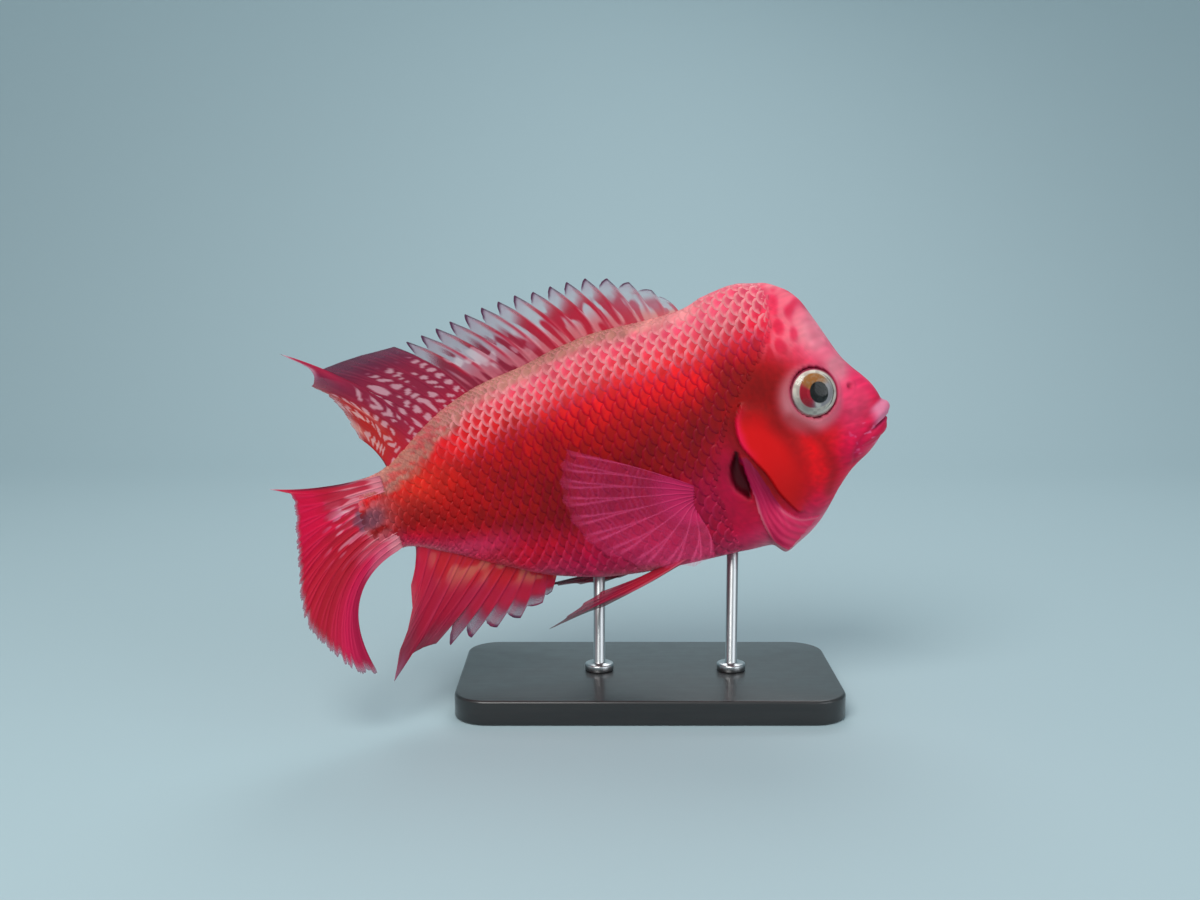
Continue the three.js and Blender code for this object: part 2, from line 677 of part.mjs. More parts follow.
function dorsalSoft() {
  const bases = basesAlong(back, SOFT_BASE, SOFT_TIPS.length, FIN_SEAT);
  const paths = SOFT_TIPS.map(([u, v], i) => {
    const tip = midPoint(u, v);
    return rayPath(bases[i], tip, bowed(bases[i], tip, DORSAL_BOW));
  });
  const wave = (i, r) => DORSAL_WAVE.swing * r * r * Math.sin(i * DORSAL_WAVE.pace);
  return finSolid(paths, { rows: 6, notch: () => 0, rootFade: 6, wave });
}

function analFin() {
  const bases = basesAlong(belly, ANAL_BASE, ANAL_TIPS.length, -FIN_SEAT);
  const paths = ANAL_TIPS.map(([u, v], i) => {
    const tip = midPoint(u, v);
    return rayPath(bases[i], tip, bowed(bases[i], tip, ANAL_BOW));
  });
  const notch = (i) => (i < ANAL_SPINES ? 0.24 : 0);
  const wave = (i, r) => ANAL_WAVE.swing * r * r * Math.sin(i * ANAL_WAVE.pace);
  return finSolid(paths, { rows: 6, notch, rootFade: 6, wave });
}

function caudalFin() {
  const [[topU, topV], [lowU, lowV]] = CAUDAL_BASE;
  const tips = spread(CAUDAL_MARGIN, CAUDAL_RAYS);
  const paths = tips.map((tip, i) => {
    const t = i / (CAUDAL_RAYS - 1);
    const base = midPoint(topU + (lowU - topU) * t, topV + (lowV - topV) * t);
    const { back: straight, more, turn } = CAUDAL_BOW;
    const bow = midPoint(base.x - straight - more * t, base.y + turn * (tip.y - base.y));
    return rayPath(base, tip, bow);
  });
  const { swing, pace, start } = CAUDAL_WAVE;
  const wave = (i, r) => swing * r * r * Math.sin(i * pace + start);
  return finSolid(paths, { rows: 7, notch: () => 0, root: CAUDAL_ROOT, rootFade: 4, wave });
}

// A paired fin starts just off the flank and stands out from it towards its tips.
function pectoralFin(side) {
  const paths = spread(PECTORAL_BASE, PECTORAL_TIPS.length).map((base, i) => {
    const root = lifted(base.x, angleAt(base.x, base.y), PAIRED_SEAT);
    const [u, v] = PECTORAL_TIPS[i];
    const tip = new THREE.Vector3(u, v, root.z + PECTORAL_STAND);
    const t = i / (PECTORAL_TIPS.length - 1);
    const bow = bowed(root, tip, PECTORAL_BOW.top + (PECTORAL_BOW.low - PECTORAL_BOW.top) * t * t);
    bow.z = root.z + PECTORAL_STAND * PECTORAL_RISE;
    return rayPath(root, tip, bow);
  });
  return finSolid(paths, { rows: 5, notch: () => 0.03, side });
}

function pelvicFin(tips, side) {
  const [[frontU, frontAngle], [rearU, rearAngle]] = PELVIC_BASE;
  const paths = tips.map(([u, v, s], i) => {
    const t = i / (tips.length - 1);
    const angle = THREE.MathUtils.degToRad(frontAngle + (rearAngle - frontAngle) * t);
    const root = lifted(frontU + (rearU - frontU) * t, angle, PAIRED_SEAT);
    const tip = new THREE.Vector3(u, v, s);
    return rayPath(root, tip, bowed(root, tip, PELVIC_BOW));
  });
  return finSolid(paths, { rows: 5, notch: () => 0.05, side });
}

// The whole fish on its stand, as [name, geometry, material].
const skin = finish(SKIN_RED, 0.4);
const pinkSkin = finish(SKIN_PINK, 0.4);
const finSkin = finish(FIN_RED, 0.5);
const clearSkin = finish(MEMBRANE_PINK, 0.45);
const eyeFinish = finish(EYE_SILVER, 0.15);
const baseFinish = finish(STAND_BLACK, 0.35);
const rodFinish = finish(STAND_STEEL, 0.3, 1);

const head = headSolid();

// A gill cover stands out most at the middle of its rear edge.
function coverLift(j, t) {
  return COVER.front + (COVER.rear - COVER.front) * j ** COVER.swell * Math.sin(Math.PI * t) ** COVER.round;
}

function membraneLift(j) {
  return MEMBRANE.front + (MEMBRANE.rear - MEMBRANE.front) * j;
}

function gillCover(side) {
  return flankBand(COVER_FRONT, COVER_REAR, side, COVER.low, coverLift);
}

function gillMembrane(side) {
  return flankBand(MEMBRANE_FRONT, MEMBRANE_REAR, side, MEMBRANE.low, membraneLift);
}

const pieces = [
  ['head', geometryOf(head.subtract(humpBlock(GAP)).subtract(jawBlock(GAP))), pinkSkin],
  ['nuchal_hump', geometryOf(head.intersect(humpBlock(0))), pinkSkin],
  ['lower_jaw', geometryOf(head.intersect(jawBlock(0))), pinkSkin],
  ['torso_front', torso(TORSO_MIDDLE + GAP / 2, HEAD_BACK - GAP / 2), skin],
  ['torso_rear', torso(PEDUNCLE_FRONT + GAP / 2, TORSO_MIDDLE - GAP / 2), skin],
  ['caudal_peduncle', bodyLength(TAIL_END, PEDUNCLE_FRONT - GAP / 2), skin],
  ['dorsal_fin_spiny', dorsalSpines(), finSkin],
  ['dorsal_fin_soft', dorsalSoft(), finSkin],
  ['anal_fin', analFin(), finSkin],
  ['caudal_fin', caudalFin(), finSkin],
  ['stand_base', standBase(), baseFinish],
  ['stand_rod_front', rod(ROD.from[0]), rodFinish],
  ['stand_rod_rear', rod(ROD.from[1]), rodFinish],
];
for (const [name, side] of SIDES) {
  pieces.push(
    [`eye_${name}`, eye(side), eyeFinish],
    [`gill_cover_${name}`, gillCover(side), skin],
    [`gill_membrane_${name}`, gillMembrane(side), clearSkin],
    [`pectoral_fin_${name}`, pectoralFin(side), clearSkin],
    [`pelvic_fin_${name}`, pelvicFin(side > 0 ? PELVIC_RIGHT : PELVIC_LEFT, side), finSkin],
  );
}

const fish = new THREE.Group();
for (const [name, geometry, material] of pieces) {
  geometry.computeVertexNormals();
  const mesh = new THREE.Mesh(geometry, material);
  mesh.name = name;
  fish.add(mesh);
}

export default fish;
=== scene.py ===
import math
from types import SimpleNamespace
import bpy
import numpy as np
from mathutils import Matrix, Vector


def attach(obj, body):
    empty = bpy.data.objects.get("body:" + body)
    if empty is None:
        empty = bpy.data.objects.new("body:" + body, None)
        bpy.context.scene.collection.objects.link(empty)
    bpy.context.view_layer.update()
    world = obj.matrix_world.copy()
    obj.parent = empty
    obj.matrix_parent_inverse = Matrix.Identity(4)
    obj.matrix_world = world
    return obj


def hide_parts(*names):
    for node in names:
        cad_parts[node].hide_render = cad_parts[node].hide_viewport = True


# A red flowerhorn cichlid, life size, as a still model on a display stand.
# Sizes are millimetres in the fish's own frame: u runs forward, v runs up through the back
# and s runs out to the fish's right. place() carries them to the model's frame in metres.

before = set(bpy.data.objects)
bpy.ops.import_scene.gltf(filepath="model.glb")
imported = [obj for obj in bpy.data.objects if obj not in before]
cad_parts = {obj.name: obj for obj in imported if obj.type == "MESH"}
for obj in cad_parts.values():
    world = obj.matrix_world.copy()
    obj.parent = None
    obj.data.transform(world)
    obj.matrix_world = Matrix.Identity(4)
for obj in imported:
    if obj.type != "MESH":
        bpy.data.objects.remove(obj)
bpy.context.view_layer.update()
draw = np.random.default_rng(7)

# The fish's place and the bend of its mid-line
PITCH = math.radians(15)
FISH_X = -20
FISH_Z = 103
TAIL_BEND = 0.0056
TAIL_BEND_FROM = -10
HEAD_BEND = 0.0012
HEAD_BEND_FROM = 45

# Profiles of the body along u
SNOUT = 115.8
SKIN_END = -96
TAIL_END = -88
BACK_LINE = [[-92, 17.6], [-84, 18.4], [-76, 22.6], [-67, 28.7], [-55, 34.9], [-40, 39.5], [-22, 42],
             [-5, 45.6], [12, 47.4], [35, 46.8], [46, 47.2], [56, 50], [69, 51.6], [80, 49.2],
             [88, 44.8], [93, 39.4], [97.5, 28.8], [101, 19.2], [104, 12.2], [107, 7.4], [110.4, 2.8],
             [113.2, -1.6], [115, -6.6], [115.8, -11]]
BELLY_LINE = [[-92, -13.6], [-84, -13.5], [-71, -20.6], [-52, -33.8], [-30, -46.2], [-8, -52.4],
              [15, -54.8], [42, -55.7], [54, -56.1], [58.4, -56.6], [63.6, -61], [69.5, -58.4],
              [80, -51.6], [90.5, -40], [97, -33.8], [101, -31], [105, -28.8], [109, -25.6],
              [112, -22.6], [114.4, -20], [115.8, -17]]
HALF_WIDTH = [[-92, 4.2], [-84, 5.6], [-72, 8.2], [-55, 12.2], [-35, 16.6], [-12, 20.4], [15, 22.6],
              [45, 23.2], [65, 22.9], [80, 21.2], [92, 18], [101, 14.6], [107, 11.6], [112, 8.8],
              [114.6, 6], [115.8, 3.6]]
WIDEST_LINE = [[-92, 2], [-70, 3], [-40, -1], [0, -6], [40, -10], [70, -12], [95, -13], [115.8, -14.4]]
UPPER_LEAN = [[-92, 0.95], [-50, 1.02], [0, 1.05], [45, 0.98], [70, 0.84], [95, 0.86], [115.8, 0.8]]
LOWER_LEAN = [[-92, 0.95], [-50, 0.92], [0, 0.8], [50, 0.82], [64, 1.15], [78, 1.05], [92, 0.86],
              [115.8, 0.75]]

# Eye, mouth, nostril and gill edges
EYE_AT = (89.7, 3.1)
SOCKET = 9.5
RIM_RADIUS = 11
MOUTH_FRONT = (120, -14)
MOUTH_CORNER = (106.6, -19.4)
UPPER_LIP = (-11.4, -17.8)
LOWER_LIP = (-19, -22.4)
LIP_RADIUS = 2.6
LIP_FRONT = 115.5
LIP_SET_BACK = 3
LIP_DEPTH = 11.4
LIP_HALF_WIDTH = 10.4
LIP_STAND = 4.6
LIP_BLEND = 1.1
LIPS_FROM = 98
NOSTRIL_AT = (104.4, 1.2)
COVER_FRONT = [[64, 6.4], [72, 2.4], [79.6, -6.6], [83.6, -17], [84.2, -28], [81.4, -37.6], [76.8, -43.2]]
COVER_REAR = [[59, 5.8], [55.4, 0], [55, -8.6], [58.4, -16], [62.6, -23.4], [66, -32.6], [71.4, -42.2]]
MEMBRANE_FRONT = [[56.2, -14.4], [59.4, -21.4], [62.2, -29], [64.6, -36.4], [68.6, -42.4],
                  [73.4, -45.9], [80.6, -47.2]]
MEMBRANE_REAR = [[53.9, -15], [54.4, -22], [55.6, -31], [56.2, -41.4], [58.8, -51.8], [64, -58.8]]
SLOT_FRONT = [[52.8, -11.2], [53.8, -16], [54.3, -21], [55, -26], [54.6, -31.8]]
SLOT_REAR = [[51.4, -11.6], [48.2, -16.6], [47.2, -21.6], [48.2, -26.8], [52.2, -32]]
MEMBRANE_RIBS = 5
SLOT_DEPTH = 3.6
GILLS_FROM = 40
# How far the bare skin lies under the plain form, and how much lower it lies under the scales
SKIN_DROP = 0.14
SCALE_ROOM = 0.2
CHEEK_FOLD = [[78, -4], [84.6, -11], [89, -20], [90.4, -29], [86.4, -38]]
JAW_FOLD = [[107.4, -19], [104, -21], [100.6, -24.6], [99, -29]]
# How far forward scales reach at each height, as [v, u]
SCALED_TO = [[-58, 48], [-46, 45], [-36, 43], [-24, 42], [-13, 46], [-4, 50], [5, 55], [12, 62],
             [22, 72], [34, 80], [44, 82], [54, 76]]

# Fins
SPINES = 17
SPINE_BASE = (45.6, -45)
SPINE_TIPS = [[42.6, 51.6], [37.1, 57.5], [29, 63], [20.8, 66.8], [12.3, 69.1], [4.8, 69.6], [-2.2, 69.7],
              [-9.4, 69.3], [-17, 69.9], [-24, 69.2], [-31, 68.6], [-38, 67.8], [-44.4, 66.6],
              [-50.2, 65.4], [-56.2, 64.3], [-62, 63.4], [-67, 62.9]]
SOFT_BASE = (-45.4, -80.6)
SOFT_TIPS = [[-67.4, 62.8], [-73.4, 63], [-79.4, 63.2], [-85.6, 62.9], [-91.4, 62.2], [-97.6, 62.4],
             [-103, 72], [-99.8, 59.6], [-94, 53.6], [-90.4, 44.6], [-87.6, 33.2]]
FILAMENT = 6
DORSAL_BOW = -0.11
ANAL_BASE = (-30.6, -78.6)
ANAL_SPINES = 6
ANAL_TIPS = [[-34.4, -51.4], [-39.4, -54.6], [-49.6, -57.4], [-59.2, -57.6], [-69, -57.8], [-76.8, -57.4],
             [-81.4, -54.4], [-86.2, -53.6], [-91.4, -53.8], [-99, -60.4], [-94.6, -50.2], [-90, -44.2],
             [-86, -37], [-84, -28.4]]
CAUDAL_RAYS = 15
CAUDAL_BASE = (-88.4, 17.2, -12.9)
CAUDAL_MARGIN = [[-117.8, 26], [-112.6, 21.4], [-114.4, 11], [-115.6, 0], [-116.6, -10], [-118, -20],
                 [-118, -29], [-115.6, -38], [-111.8, -47], [-107.4, -54.4], [-103, -56.6]]
TAIL_SPOT = (-92.4, 2, 4.8)
PECTORAL_BASE = [[30.5, -18.6], [29.4, -25], [30.8, -32]]
PECTORAL_TIPS = [[-12, 8.3], [-18, 3.2], [-21.6, -3.6], [-22.8, -11], [-21, -20], [-15.6, -28.6],
                 [-7, -36.6], [3.4, -43.6], [14.6, -48], [25, -50], [33.4, -48.6]]
PECTORAL_STAND = 8.5
PECTORAL_BOW = (-0.03, 0.26)
PELVIC_BASE = ((24, -66), (12, -74))
PELVIC_TIPS = {
    1: [[-14, -60, 15.4], [-43, -62.4, 14.8], [-33, -60.4, 12.2], [-24, -57.9, 9.8], [-15, -55.9, 7.8],
        [-6, -55.4, 6.4]],
    -1: [[-14, -57.6, 14.8], [-37, -50.8, 14], [-30, -52.6, 11.6], [-22, -54.4, 9.6], [-14, -55, 7.8],
         [-6, -55.4, 6.4]],
}
SIDES = {"right": 1, "left": -1}


# Colours

def rgb(code):
    return np.array([int(code[i:i + 2], 16) / 255 for i in (0, 2, 4)])


def palette(**codes):
    return SimpleNamespace(**{name: rgb(code) for name, code in codes.items()})


RIDGE_TAN = rgb("AC7C6C")
NAPE_PINK = rgb("F09A98")
BLOOD_RED = rgb("A80006")
DEEP_RED = rgb("800006")
BRIGHT_RED = rgb("DE0414")
ORANGE_RED = rgb("D42408")
LOW_MAGENTA = rgb("C81446")
CHEST_RED = rgb("C4103C")
BELLY_PINK = rgb("DC4A70")
BELLY_PALE = rgb("F2A4B0")
HOT_PINK = rgb("F01050")
CHEEK_MAGENTA = rgb("D00844")
SNOUT_PINK = rgb("E84A72")
BROW_PALE = rgb("EFA0AC")
HUMP_PINK = rgb("E84E6C")
HUMP_RED = rgb("E01434")
LIP_LILAC = rgb("E9A2BC")
RIM_GREY_PINK = rgb("C8808A")
# Painted shadow in the gill slot and just behind the gill cover's rear edge
GILL_SHADOW = rgb("48000E")
# The gill membrane's red, darkened as painted shade where it lies under the gill cover
MEMBRANE_SHADED_RED = rgb("A0003C")
MEMBRANE_CLEAR = rgb("EC2C60")
CELL_RED = rgb("DC1C3C")
NET_PALE = rgb("FF9CA0")
NET_MAGENTA = rgb("B01250")
NET_LOW = rgb("E8507A")
FLUSH_MAGENTA = rgb("AC0A42")
INK_PURPLE = rgb("4A1C3C")
TAIL_PALE = rgb("D8848C")
TAIL_GREY = rgb("5A3040")
# In HEAD, the shade, mouth, jaw and nostril tints are painted shade: under the gill cover, along the mouth
# line, in the jaw crease and in the nostril pit
HEAD = palette(cover="D80408", shade="7A0030", lid="A01038", mouth="6C0024", jaw="A8003C", nostril="8A1838",
               cell="DE1840")
# The eye's glint tint is a painted highlight below the pupil
EYE = palette(silver="F2E8DA", tarnish="C4B4AA", front="B8B0B4", rear="BC0A2C", top="B87434", glint="FFF8F0",
              edge="B43A5A", pupil="030303")
SPINY = palette(web="B9BCC4", web_rear="8C7484", low="CC6870", low_front="D8A098", low_rear="A04860",
                blotch="B4102C", blotch_rear="80102C", streak="C01030", spot="D8CCD0", crest="9A6080",
                spine="D88088")
SOFT = palette(web="8C1638", margin="6A1A40", rear="C42418", root="B40C30", bead="D8B4B8", streak="F0B8A8",
               filament="D01C48", tip="E8D4DC", ray="B83850")
ANAL = palette(root="C81828", coral="D07A60", web="B40C34", margin="741038", lappet="8A8590", rear="D0143C",
               tip="A890A0", ray="A02048", streak="B8244C")
CAUDAL = palette(pale="DC949A", speckle="B8102C", drop="E8C0CA", spot="6A4458", top="6A1C34",
                 filament="C01038", ray="E83A66", fringe="9A8C9C", tip="F0DCE0")
PECTORAL = palette(web="D42C68", flesh="C8205C", ray="F25C90", bar="E04C82")
PELVIC = palette(root="C01434", web="8A0C34", dark="3C4644", front="E08C90", ray="E05070")


# From the fin's upper edge, 0, to its lower edge, 1
CAUDAL_RAMP = [(0, rgb("D00C3C")), (0.25, rgb("EC0844")), (0.5, rgb("C4042C")), (0.72, rgb("AC0222")),
               (0.88, rgb("D4104C")), (1, rgb("A00C3C"))]


def linear(colour):
    colour = np.clip(colour, 0, 1)
    return np.where(colour <= 0.04045, colour / 12.92, ((colour + 0.055) / 1.055) ** 2.4)


def smooth(low, high, x):
    t = np.clip((x - low) / (high - low), 0, 1)
    return t * t * (3 - 2 * t)


def mix(a, b, share):
    return a + (b - a) * np.asarray(share)[..., None]


def layered(colour, *layers):
    """Lays tints over a colour in turn. Each layer is a tint and its share."""
    for tint, share in layers:
        colour = mix(colour, tint, share)
    return colour


def along_ramp(ramp, t):
    stops = [stop for stop, _ in ramp]
    return np.stack([np.interp(t, stops, [tint[k] for _, tint in ramp]) for k in range(3)], -1)


def filled(tint, like):
    """One tint at every place of an array."""
    return tint + np.zeros(np.shape(like) + (3,))


def bell(x, middle, width):
    return np.exp(-((x - middle) / width) ** 2)


NOISE_CELLS = draw.random((97, 97))


def noise(x, y):
    """Soft random values from 0 to 1, one hill or hollow to each unit."""
    size = len(NOISE_CELLS)
    i = np.floor(x).astype(int)
    j = np.floor(y).astype(int)
    a = smooth(0, 1, x - i)
    b = smooth(0, 1, y - j)
    low = NOISE_CELLS[i % size, j % size] * (1 - a) + NOISE_CELLS[(i + 1) % size, j % size] * a
    high = NOISE_CELLS[i % size, (j + 1) % size] * (1 - a) + NOISE_CELLS[(i + 1) % size, (j + 1) % size] * a
    return low * (1 - b) + high * b


# Body form

def smooth_line(points):
    """A smooth curve through [u, value] points, without overshoot."""
    x, y = np.array(points, float).T
    slope = np.diff(y) / np.diff(x)
    product = slope[:-1] * slope[1:]
    total = slope[:-1] + slope[1:]
    inner = np.where(product > 0, 2 * product / np.where(product > 0, total, 1), 0)
    tangent = np.concatenate([slope[:1], inner, slope[-1:]])

    def value(u):
        i = np.clip(np.searchsorted(x, u) - 1, 0, len(x) - 2)
        step = x[i + 1] - x[i]
        t = np.clip((u - x[i]) / step, 0, 1)
        start = (2 * t ** 3 - 3 * t ** 2 + 1) * y[i] + (t ** 3 - 2 * t ** 2 + t) * step * tangent[i]
        return start + (3 * t ** 2 - 2 * t ** 3) * y[i + 1] + (t ** 3 - t ** 2) * step * tangent[i + 1]

    return value


back = smooth_line(BACK_LINE)
belly = smooth_line(BELLY_LINE)
half_width = smooth_line(HALF_WIDTH)
widest = smooth_line(WIDEST_LINE)
upper_lean = smooth_line(UPPER_LEAN)
lower_lean = smooth_line(LOWER_LEAN)
scaled_to = smooth_line(SCALED_TO)


def bend(u):
    tail = np.maximum(0, TAIL_BEND_FROM - u)
    head = np.maximum(0, u - HEAD_BEND_FROM)
    swing = -TAIL_BEND * tail ** 2 - HEAD_BEND * head ** 2
    slope = 2 * TAIL_BEND * tail - 2 * HEAD_BEND * head
    return swing, slope


def place(points):
    """Points of the fish's frame in mm, carried to the model's frame in metres."""
    u, v, s = np.moveaxis(np.asarray(points, float), -1, 0)
    swing, slope = bend(u)
    length = np.hypot(1, slope)
    along = u + s * slope / length
    x = FISH_X + along * math.cos(PITCH) - v * math.sin(PITCH)
    z = FISH_Z + along * math.sin(PITCH) + v * math.cos(PITCH)
    return np.stack([x, swing - s / length, z], -1) / 1000


def unplace(spots):
    """The way back from the model's frame to u, v and s."""
    x, y, z = np.moveaxis(np.asarray(spots, float) * 1000, -1, 0)
    dx = x - FISH_X
    dz = z - FISH_Z
    along = dx * math.cos(PITCH) + dz * math.sin(PITCH)
    v = dz * math.cos(PITCH) - dx * math.sin(PITCH)
    u = along.copy()
    for _ in range(24):
        swing, slope = bend(u)
        u = 0.5 * u + 0.5 * (along - (swing - y) * slope)
    swing, slope = bend(u)
    return np.stack([u, v, (swing - y) * np.hypot(1, slope)], -1)


def flank_point(u, angle):
    rise = np.sin(angle)
    reach = np.cos(angle)
    middle = widest(u)
    up = rise > 0
    height = np.where(up, back(u) - middle, middle - belly(u))
    lean = np.where(up, upper_lean(u), lower_lean(u))
    taper = np.sqrt(np.clip((u - SKIN_END) / (TAIL_END - SKIN_END), 0.03, 1))
    s = half_width(u) * taper * np.sign(reach) * np.abs(reach) ** lean
    return np.stack([u + 0 * s, middle + height * rise, s], -1)


def angle_at(u, v):
    middle = widest(u)
    height = np.where(v > middle, back(u) - middle, middle - belly(u))
    return np.arcsin(np.clip((v - middle) / height, -0.995, 0.995))


def flank_normal(u, angle):
    along_u = flank_point(u + 0.5, angle) - flank_point(u - 0.5, angle)
    along_angle = flank_point(u, angle + 0.01) - flank_point(u, angle - 0.01)
    normal = np.cross(along_u, along_angle)
    return normal / np.maximum(np.linalg.norm(normal, axis=-1, keepdims=True), 1e-9)


def lifted(u, angle, lift):
    return flank_point(u, angle) + flank_normal(u, angle) * np.asarray(lift)[..., None]


def rounded(points, count=60):
    """A smooth run of points through a few given ones."""
    given = np.array(points, float)
    ends = [2 * given[0] - given[1], 2 * given[-1] - given[-2]]
    p = np.vstack([ends[:1], given, ends[1:]])
    fine = np.linspace(0, len(given) - 1 - 1e-6, 12 * count)
    i = fine.astype(int)
    t = (fine - i)[:, None]
    a, b, c, d = p[i], p[i + 1], p[i + 2], p[i + 3]
    curve = 0.5 * (2 * b + (c - a) * t + (2 * a - 5 * b + 4 * c - d) * t ** 2
                   + (3 * b - a - 3 * c + d) * t ** 3)
    run = np.concatenate([[0], np.cumsum(np.linalg.norm(np.diff(curve, axis=0), axis=1))])
    at = np.linspace(0, run[-1], count)
    return np.stack([np.interp(at, run, curve[:, k]) for k in range(curve.shape[1])], -1)


def edge_distance(u, v, line):
    """The distance from a line of [u, v] points, and how far along it that is, from 0 to 1."""
    best = np.full(np.shape(u), 1e9)
    share = np.zeros(np.shape(u))
    for k in range(len(line) - 1):
        a = line[k]
        step = line[k + 1] - a
        t = np.clip(((u - a[0]) * step[0] + (v - a[1]) * step[1]) / (step @ step), 0, 1)
        gap = np.hypot(u - a[0] - t * step[0], v - a[1] - t * step[1])
        near = gap < best
        best = np.where(near, gap, best)
        share = np.where(near, (k + t) / (len(line) - 1), share)
    return best, share


def inside(u, v, front, rear):
    outline = np.vstack([front, rear[::-1]])
    hit = np.zeros(np.shape(u), bool)
    for a, b in zip(outline, np.roll(outline, -1, axis=0)):
        crosses = (a[1] > v) != (b[1] > v)
        drop = b[1] - a[1] if b[1] != a[1] else 1e-9
        hit ^= crosses & (u < (b[0] - a[0]) * (v - a[1]) / drop + a[0])
    return hit


cover_front = rounded(COVER_FRONT)
cover_rear = rounded(COVER_REAR)
membrane_front = rounded(MEMBRANE_FRONT)
membrane_rear = rounded(MEMBRANE_REAR)
slot_front = rounded(SLOT_FRONT)
slot_rear = rounded(SLOT_REAR)
cheek_fold = rounded(CHEEK_FOLD)
jaw_fold = rounded(JAW_FOLD)


def eye_frame():
    """The eye's centre on the right flank and its outward axis."""
    u, v = EYE_AT
    angle = angle_at(np.array(u, float), np.array(v, float))
    return flank_point(np.array(u, float), angle), flank_normal(np.array(u, float), angle)


EYE_CENTRE, EYE_AXIS = eye_frame()


def eye_reach(points):
    """Distance from the eye's axis, and the turn about it with 0 forward and 90 degrees up."""
    near = points.copy()
    near[..., 2] = np.abs(near[..., 2])
    away = near - EYE_CENTRE
    flat = away - (away @ EYE_AXIS)[..., None] * EYE_AXIS
    return np.linalg.norm(flat, axis=-1), np.arctan2(away[..., 1], away[..., 0])


def lip_line(lip, set_back):
    q = np.linspace(-1, 1, 61)
    turn = q * math.pi / 2
    u = LIP_FRONT - set_back - LIP_DEPTH * (1 - np.cos(turn))
    line = np.stack([u, lip[0] + (lip[1] - lip[0]) * q * q, LIP_HALF_WIDTH * np.sin(turn)], -1)
    return line, LIP_RADIUS * (1 - 0.5 * q * q)


def lip_lift(points, normals):
    """How far the lips stand out from the snout, with soft joins."""
    lines = [lip_line(UPPER_LIP, 0), lip_line(LOWER_LIP, LIP_SET_BACK)]
    steps = np.linspace(LIP_STAND, 0, 47)
    lift = np.zeros(len(points))
    open_yet = np.ones(len(points), bool)
    last = None
    for step in steps:
        spot = points + normals * step
        field = np.full(len(points), step)
        for line, radius in lines:
            away = np.linalg.norm(spot[:, None] - line[None], axis=2) - radius
            near = away.min(1)
            h = np.clip(0.5 + 0.5 * (near - field) / LIP_BLEND, 0, 1)
            field = near * (1 - h) + field * h - LIP_BLEND * h * (1 - h)
        if last is not None:
            crossed = open_yet & (field <= 0)
            gap = np.maximum(last - field, 1e-9)
            lift = np.where(crossed, step + (steps[0] - steps[1]) * np.clip(-field / gap, 0, 1), lift)
            open_yet &= ~crossed
        last = field
    return lift


def mouth_gap(u, v):
    """Distance from the line of the mouth, signed up."""
    du = MOUTH_FRONT[0] - MOUTH_CORNER[0]
    dv = MOUTH_FRONT[1] - MOUTH_CORNER[1]
    return ((v - MOUTH_CORNER[1]) * du - (u - MOUTH_CORNER[0]) * dv) / math.hypot(du, dv)


def gill_parts(u, v):
    """For points on the side of the head: which gill part they lie on, with shares across it."""
    cover = inside(u, v, cover_front, cover_rear)
    membrane = inside(u, v, membrane_front, membrane_rear) & ~cover
    slot = inside(u, v, slot_front, slot_rear) & ~cover & ~membrane
    front, _ = edge_distance(u, v, cover_front)
    rear, rear_along = edge_distance(u, v, cover_rear)
    flap, flap_along = edge_distance(u, v, membrane_rear)
    fold, _ = edge_distance(u, v, membrane_front)
    outer, _ = edge_distance(u, v, slot_rear)
    return SimpleNamespace(cover=cover, membrane=membrane, slot=slot, front=front, rear=rear, flap=flap,
                           fold=fold, outer=outer, rear_along=rear_along, flap_along=flap_along)


def gill_relief(u, v):
    g = gill_parts(u, v)
    across = g.front / np.maximum(g.front + g.rear, 1e-6)
    plate = (0.2 + 1.5 * across ** 1.4) * smooth(0, 0.7, g.rear) * smooth(-0.5, 5, g.front)
    lift = np.where(g.cover, plate, 0)
    over = g.flap / np.maximum(g.flap + g.fold, 1e-6)
    ribs = 0.16 * np.cos(over * MEMBRANE_RIBS * 2 * math.pi)
    sheet = (0.15 + 0.9 * (1 - over) + ribs) * smooth(0, 0.6, g.flap)
    lift = np.where(g.membrane, sheet - 0.35 * smooth(2, 0, g.rear), lift)
    slot = -SLOT_DEPTH * smooth(0, 2.6, g.outer) * smooth(-0.2, 0.8, g.flap)
    lift = np.where(g.slot, slot, lift)
    near = ~g.cover & ~g.membrane & ~g.slot
    crease = -0.5 * bell(g.rear, 0, 1.1) * (g.rear_along < 0.35)
    return np.where(near, lift + crease, lift)


def relief(points, angle):
    """The lift of the skin over the plain form of the body, in mm."""
    u, v, s = np.moveaxis(points, -1, 0)
    room = smooth(-2, 3, scaled_to(v) - u)
    lift = -SKIN_DROP - SCALE_ROOM * room
    head = u > GILLS_FROM
    lift[head] += gill_relief(u[head], v[head])
    reach, turn = eye_reach(points)
    low_rear = 0.5 + 0.5 * np.cos(turn - math.radians(215))
    lift += 0.8 * bell(reach, RIM_RADIUS - 0.3, 1.2)
    lift += 0.5 * bell(reach, 13.4, 2.6) * low_rear
    nose = np.hypot(u - NOSTRIL_AT[0], v - NOSTRIL_AT[1])
    lift += 0.35 * bell(nose, 1.7, 0.6) - 0.9 * bell(nose, 0, 0.9)
    fold, _ = edge_distance(u[head], v[head], cheek_fold)
    corner, _ = edge_distance(u[head], v[head], jaw_fold)
    lift[head] += -0.16 * bell(fold, 0, 1.6) - 0.35 * bell(corner, 0, 1)
    dents = noise(u * 0.16 + 3, angle * 5) - 0.5
    return lift + 0.35 * dents * smooth(60, 80, u) * smooth(112, 100, u)


# Markings, with painted shade in the gill slot, under the gill cover and in the creases of the head

